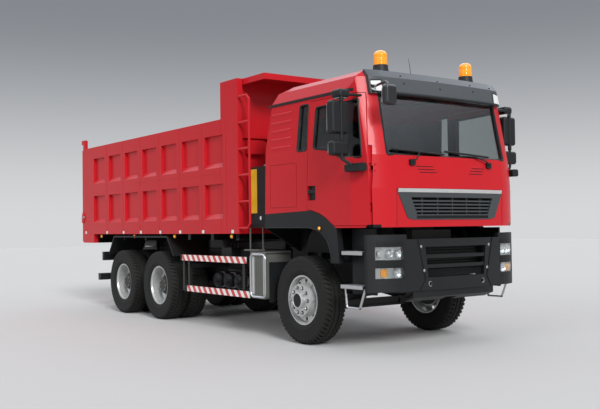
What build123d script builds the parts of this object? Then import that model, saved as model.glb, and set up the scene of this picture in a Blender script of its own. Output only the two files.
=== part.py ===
from build123d import *
import math
import os

# A 6x4 dump truck. Sizes are in millimetres.
# The frame: +X forward, +Y to the vehicle's left, +Z up, and the tyres stand on z = 0.
# Every x below is measured from the front axle, and put() shifts it to the middle of the truck.

# Overall layout
FRONT_REACH = 1500
REAR_REACH = 6960
WHEELBASE = 3825
TANDEM = 1350
MIRROR_REACH = 1640
FRONT_AXLE_X = (REAR_REACH - MIRROR_REACH) / 2
MID_X = -WHEELBASE
REAR_X = -WHEELBASE - TANDEM
AXLE_Z = 540
GAP = 6
SEAT = 0.3

# Tyres and rims
TYRE_R = 540
TYRE_W = 294
BEAD_R = 292
RIM_W = 232
FRONT_TRACK_HALF = 1032
OUTER_TWIN_Y = 1075
INNER_TWIN_Y = 733
HUB_R = 150
NAVE_R = 196
RING_IN_R = 206
RING_OUT_R = 266
HAND_HOLES = 10
HAND_HOLE_R = 25
HAND_HOLE_CIRCLE_R = 236
DISC_T = 14
FRONT_NAVE_Y = 1188
HUB_IN_Y = 972
SPINDLE_R = 52
AXLE_END_R = 72
DRUM_R = 205
DRUM_IN_Y = 650

# Chassis frame
RAIL_OUT_Y = 425
RAIL_LOW_Z = 720
RAIL_TOP_Z = 1000
RAIL_T = 30
RAIL_FLANGE = 90
FRAME_FRONT_X = 1240
FRAME_REAR_X = -6330
CROSS_XS = [1150, -2000, -3000, -4500, -5700, -6280]
CROSS_T = 80
SUB_TOP_Z = 1110
SUB_FRONT_X = -1260
SPRING_SEAT_Z = 500
BOGIE_SEAT_Z = 650
NOSE_UP = 20
HOUSING_R = 225
NOSE_REACH = 330
AIR_TANK_XS = (-2440, -2145, -1850)
AIR_TANK_Z = 675
AIR_TANK_R = 111
AIR_TANK_END_Y = -920

# Steering
KINGPIN_Y = 880
KINGPIN_R = 26
PIN_CLEAR = 0.1

# Tipping body
BODY_HALF = 1235
CANOPY_INSET = 95
GATE_SIDE_GAP = 10
ARM_INSET = 50
BODY_FRONT_X = -1330
BODY_REAR_X = -6895
SIDE_LOW_Z = 1355
SIDE_TOP_Z = 2949
SIDE_T = 85
POST_TOP_Z = 3468
POST_REAR_X = -1780
FLOOR_T = 30
PANELS = 7
PANEL_PITCH = 691
PANEL_W = 510
PANEL_FIRST_X = -6389
PANEL_DEEP = 45
UPPER_ROW = (2280, 2740)
LOWER_ROW = (1560, 2053)
SILL_RISE = 70
TIP_X = -6270
TIP_Z = 1060
TIP_PIN_R = 35
LADDER_X = -1065
LADDER_RUNGS = 6
RUNG_PITCH = 357
LADDER_LOW_Z = 1430
LADDER_TOP_Z = 3214
LADDER_R = 17
GUARD_TIP_X = -800
WELL_HALF = 190
WELL_DEEP = 390
WELL_TOP_Z = 2260

# The room over the rear wheels, where the floor's bearers stop short
MUD_XS = (-5790, -3200)
FRONT_FLAP_X = -645

# Tailgate
GATE_PIN_Z = 3105
GATE_PIN_R = 16
GATE_PIN_X = -6925
GATE_LOW_Z = 1195

# Hoist between the cab and the body
HOIST_BASE_X = -960
HOIST_BASE_Z = 905
HOIST_EYE_X = -1090
HOIST_EYE_Z = 2500
HOIST_PIN_R = 28
HOIST_EYE_HALF = 54
BARREL_R = 112
STAGE_STEP = 15
STAGE_WALL = 9.5
GLAND = 60
EAR_IN_Y = 70

# Cab
CAB_HALF = 1235
CAB_T = 60
CAB_BACK_X = -674
CAB_LOW_Z = 1417
# Half of the cab's plan, each point with its outward direction: flank, shoulder, bend, brow, nose
CAB_PLAN = (((1060, 1235), (0.12, 1.0)), ((1308, 1174), (0.584, 0.886)), ((1388, 1030), (0.932, 0.362)),
            ((1422, 900), (0.994, 0.113)), ((1460, 0), (1.0, 0.0)))
# How far the plan stands back at each height
CAB_LEAN = ((1380, -8), (1853, 0), (2225, -32), (2925, -178), (3120, -220), (3215, -300))
CAB_SIDE = [(-674, 1605), (307, 1629), (483, 1584), (616, 1523), (764, 1431), (790, 1417), (1700, 1417),
            (1700, 3200), (-260, 3200), (-440, 3120), (-528, 2998), (-645, 2431)]
ROOF_SPLIT_Z = 2995
ROOF_TOP_Z = 3200
SCREEN_LOW_Z = 2225
SCREEN_TOP_Z = 2925
DOOR_SIDE = [(228, 1632), (307, 1629), (483, 1584), (616, 1523), (750, 1440), (1308, 1434),
             (1308, 2100), (1290, 2210), (1196, 2861), (1180, 2935), (285, 2935)]
# How much nearer the flank the door ends than its opening
DOOR_EASE = 15
# Where the door's inner lower edge is cut back to swing over the sill
SILL_EASE_X = (200, 1100)
DOOR_GLASS = [(384, 2363), (673, 2327), (893, 2218), (1200, 2204), (1130, 2861), (415, 2842)]
HATCH_X = (-545, 24)
HATCH_Z = (1680, 2217)
HATCH_GROOVE = 8
CAB_RIB_X = (-520, -90)
CAB_RIB_ZS = (2425, 2530, 2635, 2740, 2845)
CAB_RIB_OUT = 9
HANDLE_X = (250, 404)
HANDLE_Z = (1748, 1922)
QUARTER_GLASS = [(48, 2361), (236, 2361), (258, 2900), (92, 2900)]
TUNNEL_Z = 1760
TUNNEL_HALF = 385
DASH_HALF = 1018
HINGE_X = 1278
HINGE_Y = 1142
HINGE_SWEEP = 47
HINGE_ZS = (1640, 2080)
TILT_Y = (480, 486)
TILT_PIN_R = 25
CAB_REST_Z = 1600
# The grille's outline and its opening as (y, z) points
GRILLE = [(-860, 1853), (860, 1853), (852, 1790), (722, 1520), (640, 1498), (-640, 1498), (-722, 1520), (-852, 1790)]
GRILLE_HOLE = [(-672, 1752), (672, 1752), (590, 1560), (-590, 1560)]
GRILLE_BAR_ZS = (1592, 1632, 1672, 1712)
GRILLE_OUT = 8
VISOR_OUT = 45
VISOR_HALF = 1070
HEAD_ROUND = 34
TILT_X = 1230
TILT_Z = 1050

# Bumper
BUMPER_LOW_Z = 700
BUMPER_TOP_Z = 1281
BUMPER_CORNER_TOP_Z = 1335
BUMPER_REAR_X = 1245
BUMPER_PLAN = (((1000, 1235), (0.06, 1.0)), ((1285, 1200), (0.493, 0.947)), ((1383, 1055), (0.9, 0.437)),
               ((1445, 790), (0.997, 0.075)), ((1500, 0), (1.0, 0.0)))
LAMP_Y = 965
TOW_HOLE_YS = (-430, 430)
TOW_HOLE_Z = 772
TOW_HOLE_R = 24
BUMPER_SLIT = 8
TOW_X = 1310
TOW_Z = 800
TOW_BORE_R = 20
TOW_H = 120
TOW_NOTCH_HALF = 90
LAMP_HALF = 165
LAMP_Z = (1055, 1200)
FOG_Z = (850, 968)


def block(x, y, z):
    """A block between a low and a high value on each axis."""
    return Pos((x[0] + x[1]) / 2, (y[0] + y[1]) / 2, (z[0] + z[1]) / 2) * Box(
        x[1] - x[0], y[1] - y[0], z[1] - z[0])


def side_prism(points, y):
    """A side view outline of (x, z) points, carried across from one y to another."""
    face = make_face(Polyline(*[(px, y[0], pz) for px, pz in points], close=True))
    return extrude(face, y[1] - y[0], dir=(0, 1, 0))


def front_prism(points, x):
    """A front view outline of (y, z) points, carried forward from one x to another."""
    face = make_face(Polyline(*[(x[0], py, pz) for py, pz in points], close=True))
    return extrude(face, x[1] - x[0], dir=(1, 0, 0))


def rod(start, end, radius):
    """A round bar between two points."""
    axis = Vector(*end) - Vector(*start)
    return extrude(Plane(origin=start, z_dir=axis) * Circle(radius), axis.length)


def bent_bar(points, radius):
    """Round bars from point to point with a ball at each bend."""
    bar = rod(points[0], points[1], radius)
    for start, end in zip(points[1:], points[2:]):
        bar += rod(start, end, radius) + Pos(*start) * Sphere(radius)
    return bar


def ring(x, z, y, outer, inner):
    """A tube along Y round an axis at x, z."""
    at = Plane(origin=(x, y[0], z), z_dir=(0, 1, 0))
    return extrude(at * (Circle(outer) - Circle(inner)), y[1] - y[0])


def turned(points, x, z):
    """A solid turned about the Y axis line at x, z, from (radius, y) points."""
    face = make_face(Polyline(*[(r, y, 0) for r, y in points], close=True))
    return Pos(x, 0, z) * revolve(face, Axis.Y)


def other_side(shape):
    return mirror(shape, about=Plane.XZ)


def both_sides(shape):
    return shape + other_side(shape)


def put(name, *shapes):
    """Writes the node's solids, shifted into the truck's own frame."""
    solids = [solid for shape in shapes for solid in shape.solids()]
    export_step(Pos(FRONT_AXLE_X, 0, 0) * Compound(solids), f"parts/{name}.step")


def tyre(x, y_mid):
    """One tyre: flat crown, sloping shoulders, bulged walls, a bore that seats on the rim."""
    half = TYRE_W / 2
    crown = half - 30
    bead = RIM_W / 2 - 6
    profile = [(TYRE_R, y_mid - crown), (TYRE_R, y_mid + crown), (TYRE_R - 60, y_mid + half),
               (TYRE_R - 140, y_mid + half), (BEAD_R + 4, y_mid + bead), (BEAD_R + 4, y_mid - bead),
               (TYRE_R - 140, y_mid - half), (TYRE_R - 60, y_mid - half)]
    return turned(profile, x, AXLE_Z)


def rim(x, y_mid, disc_y, outward, dish):
    """A rim with its flanges and a disc whose nave at disc_y stands dish beyond the well."""
    half = RIM_W / 2
    well = BEAD_R - 14
    band = turned([(BEAD_R + 4, y_mid - half + 6), (BEAD_R + 4, y_mid + half - 6), (BEAD_R + 12, y_mid + half),
                   (BEAD_R - 6, y_mid + half), (well, y_mid + half - 26), (well, y_mid - half + 26),
                   (BEAD_R - 6, y_mid - half), (BEAD_R + 12, y_mid - half)], x, AXLE_Z)
    face = disc_y
    ring = disc_y - outward * dish
    back = outward * DISC_T
    disc = turned([(96, face), (NAVE_R, face), (RING_IN_R, ring), (RING_OUT_R, ring), (well + 2, ring - 2 * back),
                   (well + 2, ring - 3 * back), (RING_OUT_R - 4, ring - back), (RING_IN_R - 4, ring - back),
                   (NAVE_R - 4, face - back), (96, face - back)], x, AXLE_Z)
    holes = []
    for i in range(HAND_HOLES):
        turn = math.radians(360 / HAND_HOLES * (i + 0.5))
        hx = x + HAND_HOLE_CIRCLE_R * math.cos(turn)
        hz = AXLE_Z + HAND_HOLE_CIRCLE_R * math.sin(turn)
        holes.append(rod((hx, ring - 2 * DISC_T, hz), (hx, ring + 2 * DISC_T, hz), HAND_HOLE_R))
    return band + (disc - holes)


def front_wheel(side, sign):
    y_mid = sign * FRONT_TRACK_HALF
    disc_y = sign * FRONT_NAVE_Y
    hub = turned([(SPINDLE_R + PIN_CLEAR, sign * HUB_IN_Y), (205, sign * HUB_IN_Y), (205, sign * 1060),
                  (HUB_R, sign * 1075), (HUB_R, disc_y - sign * DISC_T), (96, disc_y - sign * DISC_T),
                  (96, disc_y + sign * 36), (0, disc_y + sign * 36), (0, disc_y + sign * 20),
                  (SPINDLE_R + PIN_CLEAR, disc_y + sign * 20)], 0, AXLE_Z)
    put(f"front_tyre_{side}", tyre(0, y_mid))
    put(f"front_rim_{side}", rim(0, y_mid, disc_y, sign, 100) + hub)


def twin_wheel(name, side, sign, x):
    """Two tyres on two rims whose discs meet back to back, on one hub."""
    seam = sign * (OUTER_TWIN_Y + INNER_TWIN_Y) / 2
    outer = rim(x, sign * OUTER_TWIN_Y, seam + sign * DISC_T, -sign, 60)
    inner = rim(x, sign * INNER_TWIN_Y, seam - sign * DISC_T, sign, 60)
    end = sign * 1120
    bore = AXLE_END_R + PIN_CLEAR
    hub = turned([(bore, sign * DRUM_IN_Y), (DRUM_R, sign * DRUM_IN_Y), (DRUM_R, seam - sign * 60),
                  (HUB_R, seam - sign * 50), (HUB_R, end - sign * 60), (HUB_R - 35, end), (0, end),
                  (0, end - sign * 30), (bore, end - sign * 30)], x, AXLE_Z)
    put(f"{name}_tyres_{side}", tyre(x, sign * OUTER_TWIN_Y), tyre(x, sign * INNER_TWIN_Y))
    put(f"{name}_rims_{side}", outer + inner + hub)


def chassis_frame():
    """Two channel rails tied by crossmembers, with a tow pin bore in the front one."""
    rail = block((FRAME_REAR_X, FRAME_FRONT_X), (RAIL_OUT_Y - RAIL_FLANGE, RAIL_OUT_Y), (RAIL_LOW_Z, RAIL_TOP_Z))
    rail -= block((FRAME_REAR_X - 1, FRAME_FRONT_X + 1), (RAIL_OUT_Y - RAIL_FLANGE - 1, RAIL_OUT_Y - RAIL_T),
                  (RAIL_LOW_Z + RAIL_T, RAIL_TOP_Z - RAIL_T))
    frame = both_sides(rail)
    for x in CROSS_XS:
        frame += block((x - CROSS_T / 2, x + CROSS_T / 2), (-RAIL_OUT_Y + RAIL_T, RAIL_OUT_Y - RAIL_T),
                       (RAIL_LOW_Z + RAIL_T, RAIL_TOP_Z - RAIL_T))
    return frame


def chassis_fittings():
    """What the rails carry: cab pivots, cab rests, hoist hangers and the front tow eye."""
    pivot = block((TILT_X - 40, TILT_X + 40), (RAIL_OUT_Y, TILT_Y[0]), (RAIL_TOP_Z - 120, TILT_Z + 40))
    pivot -= rod((TILT_X, 0, TILT_Z), (TILT_X, CAB_HALF, TILT_Z), TILT_PIN_R + PIN_CLEAR)
    rest = block((CAB_BACK_X + 40, CAB_BACK_X + 120), (RAIL_OUT_Y - RAIL_FLANGE, RAIL_OUT_Y), (RAIL_TOP_Z, CAB_REST_Z))
    hanger = block((HOIST_BASE_X - 50, HOIST_BASE_X + 50), (HOIST_EYE_HALF + 6, RAIL_OUT_Y - RAIL_T),
                   (HOIST_BASE_Z - 45, HOIST_BASE_Z + 45))
    hanger -= rod((HOIST_BASE_X, 0, HOIST_BASE_Z), (HOIST_BASE_X, 300, HOIST_BASE_Z), HOIST_PIN_R + PIN_CLEAR)
    jaw = block((CROSS_XS[0], TOW_X + 45), (-60, 60), (TOW_Z - TOW_H / 2, TOW_Z + TOW_H / 2))
    jaw -= block((TOW_X - 50, TOW_X + 46), (-61, 61), (TOW_Z - 30, TOW_Z + 30))
    jaw -= rod((TOW_X, 0, TOW_Z - TOW_H), (TOW_X, 0, TOW_Z + TOW_H), TOW_BORE_R)
    return both_sides(pivot + rest + hanger) + jaw


def tip_subframe():
    """The body's bearers on the rails, with the hinge ears at the rear end."""
    inside = RAIL_OUT_Y - 80
    bearer = block((TIP_X + 105, SUB_FRONT_X), (inside, RAIL_OUT_Y), (RAIL_TOP_Z, SUB_TOP_Z))
    ear = rod((TIP_X, inside, TIP_Z), (TIP_X, inside + 60, TIP_Z), TIP_PIN_R + 25)
    ear += block((TIP_X - 60, TIP_X + 106), (inside, inside + 60), (RAIL_TOP_Z, TIP_Z))
    ear -= rod((TIP_X, inside - 1, TIP_Z), (TIP_X, inside + 61, TIP_Z), TIP_PIN_R + PIN_CLEAR)
    frame = both_sides(bearer + ear)
    for x in (-1300, -2400, -3800, -5200, -6080):
        frame += block((x - 40, x + 40), (-inside, inside), (RAIL_TOP_Z, SUB_TOP_Z))
    return frame


def leaf_pack(x, y, low_z, lengths, rise, leaf=20):
    """Leaves of a spring, bent upwards from the middle, the shortest at the bottom."""
    pack = None
    for row, reach in enumerate(lengths):
        z = low_z + row * leaf
        up = rise * reach / lengths[-1]
        strip = side_prism([(x - reach, z + up), (x, z), (x + reach, z + up), (x + reach, z + up + leaf),
                            (x, z + leaf), (x - reach, z + up + leaf)], y)
        pack = strip if pack is None else pack + strip
    return pack


def front_axle():
    """A dropped beam with an eye for each kingpin, its springs and their hangers."""
    beam = front_prism([(-KINGPIN_Y, 480), (-560, 470), (-490, SPRING_SEAT_Z - 110), (490, SPRING_SEAT_Z - 110),
                        (560, 470), (KINGPIN_Y, 480), (KINGPIN_Y, 600), (600, 590), (480, SPRING_SEAT_Z),
                        (-480, SPRING_SEAT_Z), (-600, 590), (-KINGPIN_Y, 600)], (-40, 40))
    web = block((15, 60), (-430, 430), (SPRING_SEAT_Z - 85, SPRING_SEAT_Z - 25))
    beam -= web
    beam -= Pos(-75, 0, 0) * web
    for y in (-KINGPIN_Y, KINGPIN_Y):
        beam += rod((0, y, 470), (0, y, 610), 46)
        beam -= rod((0, y, 460), (0, y, 620), KINGPIN_R + PIN_CLEAR)
    y = (RAIL_OUT_Y - RAIL_FLANGE, RAIL_OUT_Y)
    spring = leaf_pack(0, y, SPRING_SEAT_Z, (250, 450, 640, 800), 110)
    for x in (-800, 800):
        spring += block((x - 45, x + 45), y, (SPRING_SEAT_Z + 150, RAIL_LOW_Z))
    return beam + both_sides(spring)


def knuckle(sign):
    """A fork round the axle's eye, the kingpin in it and the spindle of the wheel."""
    y = KINGPIN_Y
    part = rod((0, y, 436), (0, y, 644), KINGPIN_R)
    for low in (436, 616):
        part += block((-45, 45), (y - 45, 962), (low, low + 28))
    part += block((-60, 60), (934, 962), (436, 644))
    part += rod((0, 950, AXLE_Z), (0, FRONT_NAVE_Y + 10, AXLE_Z), SPINDLE_R)
    part += rod((0, 950, AXLE_Z), (0, HUB_IN_Y - 6, AXLE_Z), 190)
    part += block((-230, -40), (y - 20, 950), (440, 470))
    return part if sign > 0 else other_side(part)


def rear_axles():
    """Two drive housings, the springs that balance on the middle, and torque rods."""
    parts = []
    for x in (MID_X, REAR_X):
        axle = rod((x, -DRUM_IN_Y + 30, AXLE_Z), (x, DRUM_IN_Y - 30, AXLE_Z), 88)
        axle += rod((x, -1080, AXLE_Z), (x, 1080, AXLE_Z), AXLE_END_R)
        axle += turned([(0, -340), (88, -340), (195, -130), (HOUSING_R, -60), (HOUSING_R, 60), (195, 130), (88, 340),
                        (0, 340)], x, AXLE_Z)
        axle += rod((x, 0, AXLE_Z + NOSE_UP), (x + NOSE_REACH, 0, AXLE_Z + NOSE_UP), 105)
        for y in (-1, 1):
            axle += rod((x, y * (DRUM_IN_Y - 30), AXLE_Z), (x, y * (DRUM_IN_Y - 6), AXLE_Z), DRUM_R)
            axle += block((x - 90, x + 90), (y * 500 - 70, y * 500 + 70), (AXLE_Z + 60, BOGIE_SEAT_Z))
        parts.append(axle)
    parts[0] += rod((MID_X - NOSE_REACH, 0, AXLE_Z + NOSE_UP), (MID_X, 0, AXLE_Z + NOSE_UP), 75)
    middle = (MID_X + REAR_X) / 2
    y = (RAIL_OUT_Y + 20, RAIL_OUT_Y + 130)
    spring = leaf_pack(middle, y, BOGIE_SEAT_Z, (760, 740, 620, 480, 340, 200), 0, 22)
    spring += block((middle - 130, middle + 130), y, (AXLE_Z - 140, BOGIE_SEAT_Z))
    spring += block((middle - 110, middle + 110), (RAIL_OUT_Y, y[1]), (BOGIE_SEAT_Z + 132, RAIL_TOP_Z - 40))
    beam = rod((middle, -y[1], AXLE_Z - 90), (middle, y[1], AXLE_Z - 90), 45)
    return parts[0] + parts[1] + both_sides(spring) + beam


def powertrain():
    """Plain masses: engine, radiator and gearbox, and the propeller shafts."""
    engine = block((-420, 820), (-300, 300), (620, 1640))
    cooler = block((980, 1080), (-325, 325), (700, 1380))
    fan = rod((820, 0, 1050), (980, 0, 1050), 120)
    box = block((-1220, -420), (-200, 200), (430, 820))
    z = AXLE_Z + NOSE_UP
    near = rod((-1220, 0, 640), (MID_X + NOSE_REACH + 90, 0, z), 55)
    near += rod((MID_X + NOSE_REACH + 100, 0, z), (MID_X + NOSE_REACH, 0, z), 80)
    far = rod((MID_X - NOSE_REACH, 0, z), (REAR_X + NOSE_REACH, 0, z), 50)
    return engine + cooler + fan + box + near, far


def battery_box():
    y = (-1235, -850)
    case = block((-1033, -665), y, (510, 1100))
    case = fillet(case.edges().filter_by(Axis.Y), 45)
    return case + block((-960, -740), (-850, -RAIL_OUT_Y), (760, 900))


def fuel_tank():
    """A round-cornered tank on the left side, on two straps from the rail."""
    tank = block((-2650, -1350), (560, 1185), (480, 1050))
    tank = fillet(tank.edges().filter_by(Axis.X), 110)
    for x in (-2350, -1650):
        tank += block((x - 40, x + 40), (RAIL_OUT_Y, 640), (740, 980))
        tank += block((x - 30, x + 30), (552, 1193), (600, 940))
    return tank


def air_tanks():
    """Three round tanks with domed outer ends, hung under the right rail."""
    tanks = []
    for x in AIR_TANK_XS:
        wall = Polyline((AIR_TANK_R, AIR_TANK_END_Y), (AIR_TANK_R, -520), (0, -520), (0, AIR_TANK_END_Y - 50))
        wall += ThreePointArc((0, AIR_TANK_END_Y - 50), (AIR_TANK_R * 0.72, AIR_TANK_END_Y - 34),
                              (AIR_TANK_R, AIR_TANK_END_Y))
        tanks.append(Pos(x, 0, AIR_TANK_Z) * revolve(make_face(wall), Axis.Y))
    top = AIR_TANK_Z + AIR_TANK_R - 20
    beam = block((AIR_TANK_XS[0] - 60, AIR_TANK_XS[-1] + 60), (-700, -RAIL_OUT_Y), (top, top + 60))
    return tanks[0] + tanks[1:] + beam


def oil_tank():
    """The hoist's oil tank stands behind the cab on a shelf from the rail."""
    tank = block((-1225, -850), (-1110, -760), (1480, 2245))
    tank = fillet(tank.edges().filter_by(Axis.Z), 40)
    shelf = block((-1215, -860), (-1100, -RAIL_OUT_Y + RAIL_FLANGE), (1430, 1480))
    post = block((-1215, -860), (-RAIL_OUT_Y, -RAIL_OUT_Y + RAIL_FLANGE), (RAIL_TOP_Z, 1430))
    brace = front_prism([(-RAIL_OUT_Y, 1100), (-RAIL_OUT_Y, 1430), (-1000, 1430)], (-1060, -1020))
    return tank + shelf + post + brace


def side_guards():
    """Two rails on each side with posts and arms to the chassis."""
    guard = block((-3003, -1122), (1205, 1235), (955, 1045)) + block((-2853, -1045), (1205, 1235), (502, 592))
    for x in (-2960, -2800):
        guard += block((x - 30, x + 30), (1165, 1205), (502, 1045))
    guard += block((-2990, -2930), (RAIL_OUT_Y, 1165), (840, 900))
    guard += block((-1290, -1230), (1165, 1205), (502, 1045))
    guard += block((-1290, -1230), (RAIL_OUT_Y, 1165), (840, 900))
    return both_sides(guard)


def mud_guards():
    """A bent sheet over each pair of rear wheels, on two arms from the rail."""
    outer = [(-5730, 1010), (-5501, 1323), (-3461, 1323), (-3232, 1017)]
    inner = [(-3258, 1017), (-3475, 1297), (-5487, 1297), (-5704, 1010)]
    sheet = side_prism(outer + inner, (600, BODY_HALF - 5))
    for x in (-5350, (MID_X + REAR_X) / 2, -3650):
        sheet += block((x - 30, x + 30), (RAIL_OUT_Y + 10, 1100), (1247, 1297))
        sheet += block((x - 30, x + 30), (RAIL_OUT_Y + 10, RAIL_OUT_Y + 60), (965, 1247))
        sheet += block((x - 30, x + 30), (RAIL_OUT_Y, RAIL_OUT_Y + 60), (965, RAIL_TOP_Z - 5))
    x = FRONT_FLAP_X
    flap = block((x, x + 10), (860, 1200), (470, 985)) + block((x - 18, x), (RAIL_OUT_Y, 1190), (935, 985))
    return both_sides(sheet + flap)


def rear_underrun():
    """The bar below the frame's end, its hangers, and the tail lamps on their arms."""
    bar = block((-6400, -6300), (-1150, 1150), (515, 635))
    hanger = block((FRAME_REAR_X, -6230), (RAIL_OUT_Y - RAIL_FLANGE, RAIL_OUT_Y), (600, RAIL_LOW_Z))
    lamp = block((-6205, -6135), (760, 1150), (880, 1030))
    arm = block((-6190, -6150), (RAIL_OUT_Y, 760), (930, 980))
    return bar + both_sides(hanger), both_sides(lamp + arm)


def nose_plan(half_plan, back, inset):
    """A plan view face: straight flanks, an arc round each front corner and one across the front."""
    points = [(x - inset * nx, y - inset * ny) for (x, y), (nx, ny) in half_plan]
    flank, shoulder, bend, brow, nose = points
    side = [(back, flank[1]), flank, shoulder]
    other = [(x, -y) for x, y in reversed(side)]
    outline = Polyline(*other, *side)
    outline += ThreePointArc(shoulder, bend, brow)
    outline += ThreePointArc(brow, nose, (brow[0], -brow[1]))
    outline += ThreePointArc((brow[0], -brow[1]), (bend[0], -bend[1]), (shoulder[0], -shoulder[1]))
    return make_face(outline)


def cab_envelope(inset):
    """The cab's outer form, inset by a wall: leaning plan sections cut by the side and front views."""
    plan = nose_plan(CAB_PLAN, -900, inset)
    body = loft([Pos(shift, 0, z) * plan for z, shift in CAB_LEAN], ruled=True)
    side = make_face(Polyline(*[(x, 0, z) for x, z in CAB_SIDE], close=True))
    if inset:
        side = offset(side, -inset, kind=Kind.INTERSECTION)
    half = CAB_HALF - inset
    top = [(half + 4, 1300), (half + 4, 2300), (half - 32, 3000), (half - 75, 3130 - inset / 2),
           (half - 190, ROOF_TOP_Z + 2 - inset)]
    section = top + [(-y, z) for y, z in reversed(top)]
    return body & extrude(side, CAB_HALF + 90, dir=(0, 1, 0), both=True) & front_prism(section, (-900, 1600))


def door_outline(shrink):
    """The door's side view, shrunk all round by a shut gap."""
    face = make_face(Polyline(*[(x, 0, z) for x, z in DOOR_SIDE], close=True))
    return offset(face, -shrink, kind=Kind.INTERSECTION) if shrink else face


def on_side(face, y):
    """A side view face carried across between two values of y."""
    return extrude(Pos(0, y[0], 0) * face, y[1] - y[0], dir=(0, 1, 0))


def cab():
    """The cab's shell cut into floor and walls, roof, front panel and doors with their glass."""
    outer = cab_envelope(0)
    inner = cab_envelope(CAB_T)
    shell = outer - inner
    tunnel = block((CAB_BACK_X, 1200), (-TUNNEL_HALF, TUNNEL_HALF), (1400, TUNNEL_Z))
    shell += tunnel & outer
    shell -= block((CAB_BACK_X - 50, 1150), (-TUNNEL_HALF + 50, TUNNEL_HALF - 50), (1300, TUNNEL_Z - 50))
    wide = (CAB_HALF - CAB_T - 160, CAB_HALF + 20)
    door_hole = on_side(door_outline(0), wide)
    glass_hole = side_prism(DOOR_GLASS, wide)
    quarter_hole = side_prism(QUARTER_GLASS, wide)
    screen = front_prism([(-955, SCREEN_LOW_Z), (955, SCREEN_LOW_Z), (945, SCREEN_TOP_Z), (-945, SCREEN_TOP_Z)],
                         (1120, 1500))
    hatch = block((1300, 1500), (-930, 930), (1400, SCREEN_LOW_Z - 30))
    glazing = cab_envelope(22) - cab_envelope(30)
    relief = rod((HINGE_X, HINGE_Y, 1380), (HINGE_X, HINGE_Y, 2100), HINGE_SWEEP)
    relief += rod((HINGE_X, HINGE_Y, 2100), (HINGE_X, HINGE_Y, 2330), HINGE_SWEEP - 12)
    lugs = []
    knuckles = []
    pockets = []
    for z in HINGE_ZS:
        for low in (z - 44, z + 26):
            lugs.append(block((HINGE_X - 12, HINGE_X + 62), (HINGE_Y - 50, HINGE_Y - 29), (low, low + 18)))
            lugs.append(block((HINGE_X - 12, HINGE_X + 12), (HINGE_Y - 50, HINGE_Y + 8), (low, low + 18)))
        lugs.append(rod((HINGE_X, HINGE_Y, z - 44), (HINGE_X, HINGE_Y, z + 44), 8))
        knuckle_ring = rod((HINGE_X, HINGE_Y, z - 21), (HINGE_X, HINGE_Y, z + 21), 16)
        knuckle_ring += block((HINGE_X - 52, HINGE_X), (HINGE_Y - 8, HINGE_Y + 8), (z - 21, z + 21))
        knuckles.append(knuckle_ring - rod((HINGE_X, HINGE_Y, z - 22), (HINGE_X, HINGE_Y, z + 22), 8 + PIN_CLEAR))
        pockets.append(block((HINGE_X - 48, HINGE_X + 40), (HINGE_Y - 130, HINGE_Y + 20), (z - 50, z + 50)))
    body = shell - both_sides(door_hole + relief) - both_sides(quarter_hole) - screen
    body += both_sides(lugs[0] + lugs[1:])
    roof = body & block((-900, 1600), (-1300, 1300), (ROOF_SPLIT_Z, 3400))
    front = (body & hatch) - front_prism(GRILLE, (1300, 1500))
    body = body - block((-900, 1600), (-1300, 1300), (ROOF_SPLIT_Z, 3400)) - hatch
    door = shell & on_side(door_outline(GAP), (wide[0] + DOOR_EASE, wide[1]))
    door -= block(SILL_EASE_X, (1000, CAB_HALF - CAB_T - 5), (1400, CAB_LOW_Z + CAB_T + 5))
    door = door - pockets - glass_hole
    door = door + knuckles
    skin = (CAB_HALF - HATCH_GROOVE, CAB_HALF + 20)
    x, z = HATCH_X, HATCH_Z
    groove = block((x[0] - 4, x[1] + 4), skin, (z[0] - 4, z[1] + 4)) - block(
        (x[0] + 4, x[1] - 4), (CAB_HALF - 20, CAB_HALF + 30), (z[0] + 4, z[1] - 4))
    body -= both_sides(groove)
    for z in CAB_RIB_ZS:
        rib = front_prism([(CAB_HALF - 8, z - 34), (CAB_HALF + CAB_RIB_OUT, z - 8), (CAB_HALF + CAB_RIB_OUT, z + 14),
                           (CAB_HALF - 8, z + 34)], CAB_RIB_X)
        lean = max(0, z - 2300) * 0.0457
        body += both_sides(Pos(0, -lean, 0) * rib)
    x, z = HANDLE_X, HANDLE_Z
    door -= block(x, (CAB_HALF - 32, CAB_HALF + 20), z)
    door += block((x[0] - 5, x[1] + 5), (CAB_HALF - 22, CAB_HALF - 4), (z[0] + 88, z[0] + 122))
    pane = side_prism(DOOR_GLASS, wide) & glazing
    quarter = side_prism(QUARTER_GLASS, wide) & glazing
    wind = screen & glazing
    return body, roof, front, door, pane, quarter, wind


def grille():
    """A bowed frame seated in the front panel, with four blades across its opening and uprights behind."""
    slab = cab_envelope(-GRILLE_OUT) - cab_envelope(CAB_T)
    rim = make_face(Polyline(*[(1300, y, z) for y, z in GRILLE], close=True))
    rim = extrude(offset(rim, -SEAT, kind=Kind.INTERSECTION), 250, dir=(1, 0, 0))
    form = (slab & rim) - front_prism(GRILLE_HOLE, (1300, 1500))
    hole = front_prism(GRILLE_HOLE, (1300, 1500))
    blades = [block((1300, 1500), (-700, 700), (z - 9, z + 9)) for z in GRILLE_BAR_ZS]
    posts = [block((1300, 1500), (y - 8, y + 8), (1540, 1770)) for y in (-480, -240, 0, 240, 480)]
    front = (cab_envelope(4) - cab_envelope(34)) & hole & (blades[0] + blades[1:])
    rear = (cab_envelope(28) - cab_envelope(48)) & hole & (posts[0] + posts[1:])
    return form + front + rear


def tilt_arms():
    """The cab's arms lean back from the pivots to the floor, each with its pin."""
    y = (TILT_Y[1], TILT_Y[1] + 45)
    arm = side_prism([(TILT_X - 45, TILT_Z - 10), (TILT_X, TILT_Z - 45), (TILT_X + 40, TILT_Z + 10),
                      (1110, CAB_LOW_Z + 2), (960, CAB_LOW_Z + 2)], y)
    arm += rod((TILT_X, RAIL_OUT_Y + 6, TILT_Z), (TILT_X, y[1], TILT_Z), TILT_PIN_R)
    return both_sides(arm)


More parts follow.
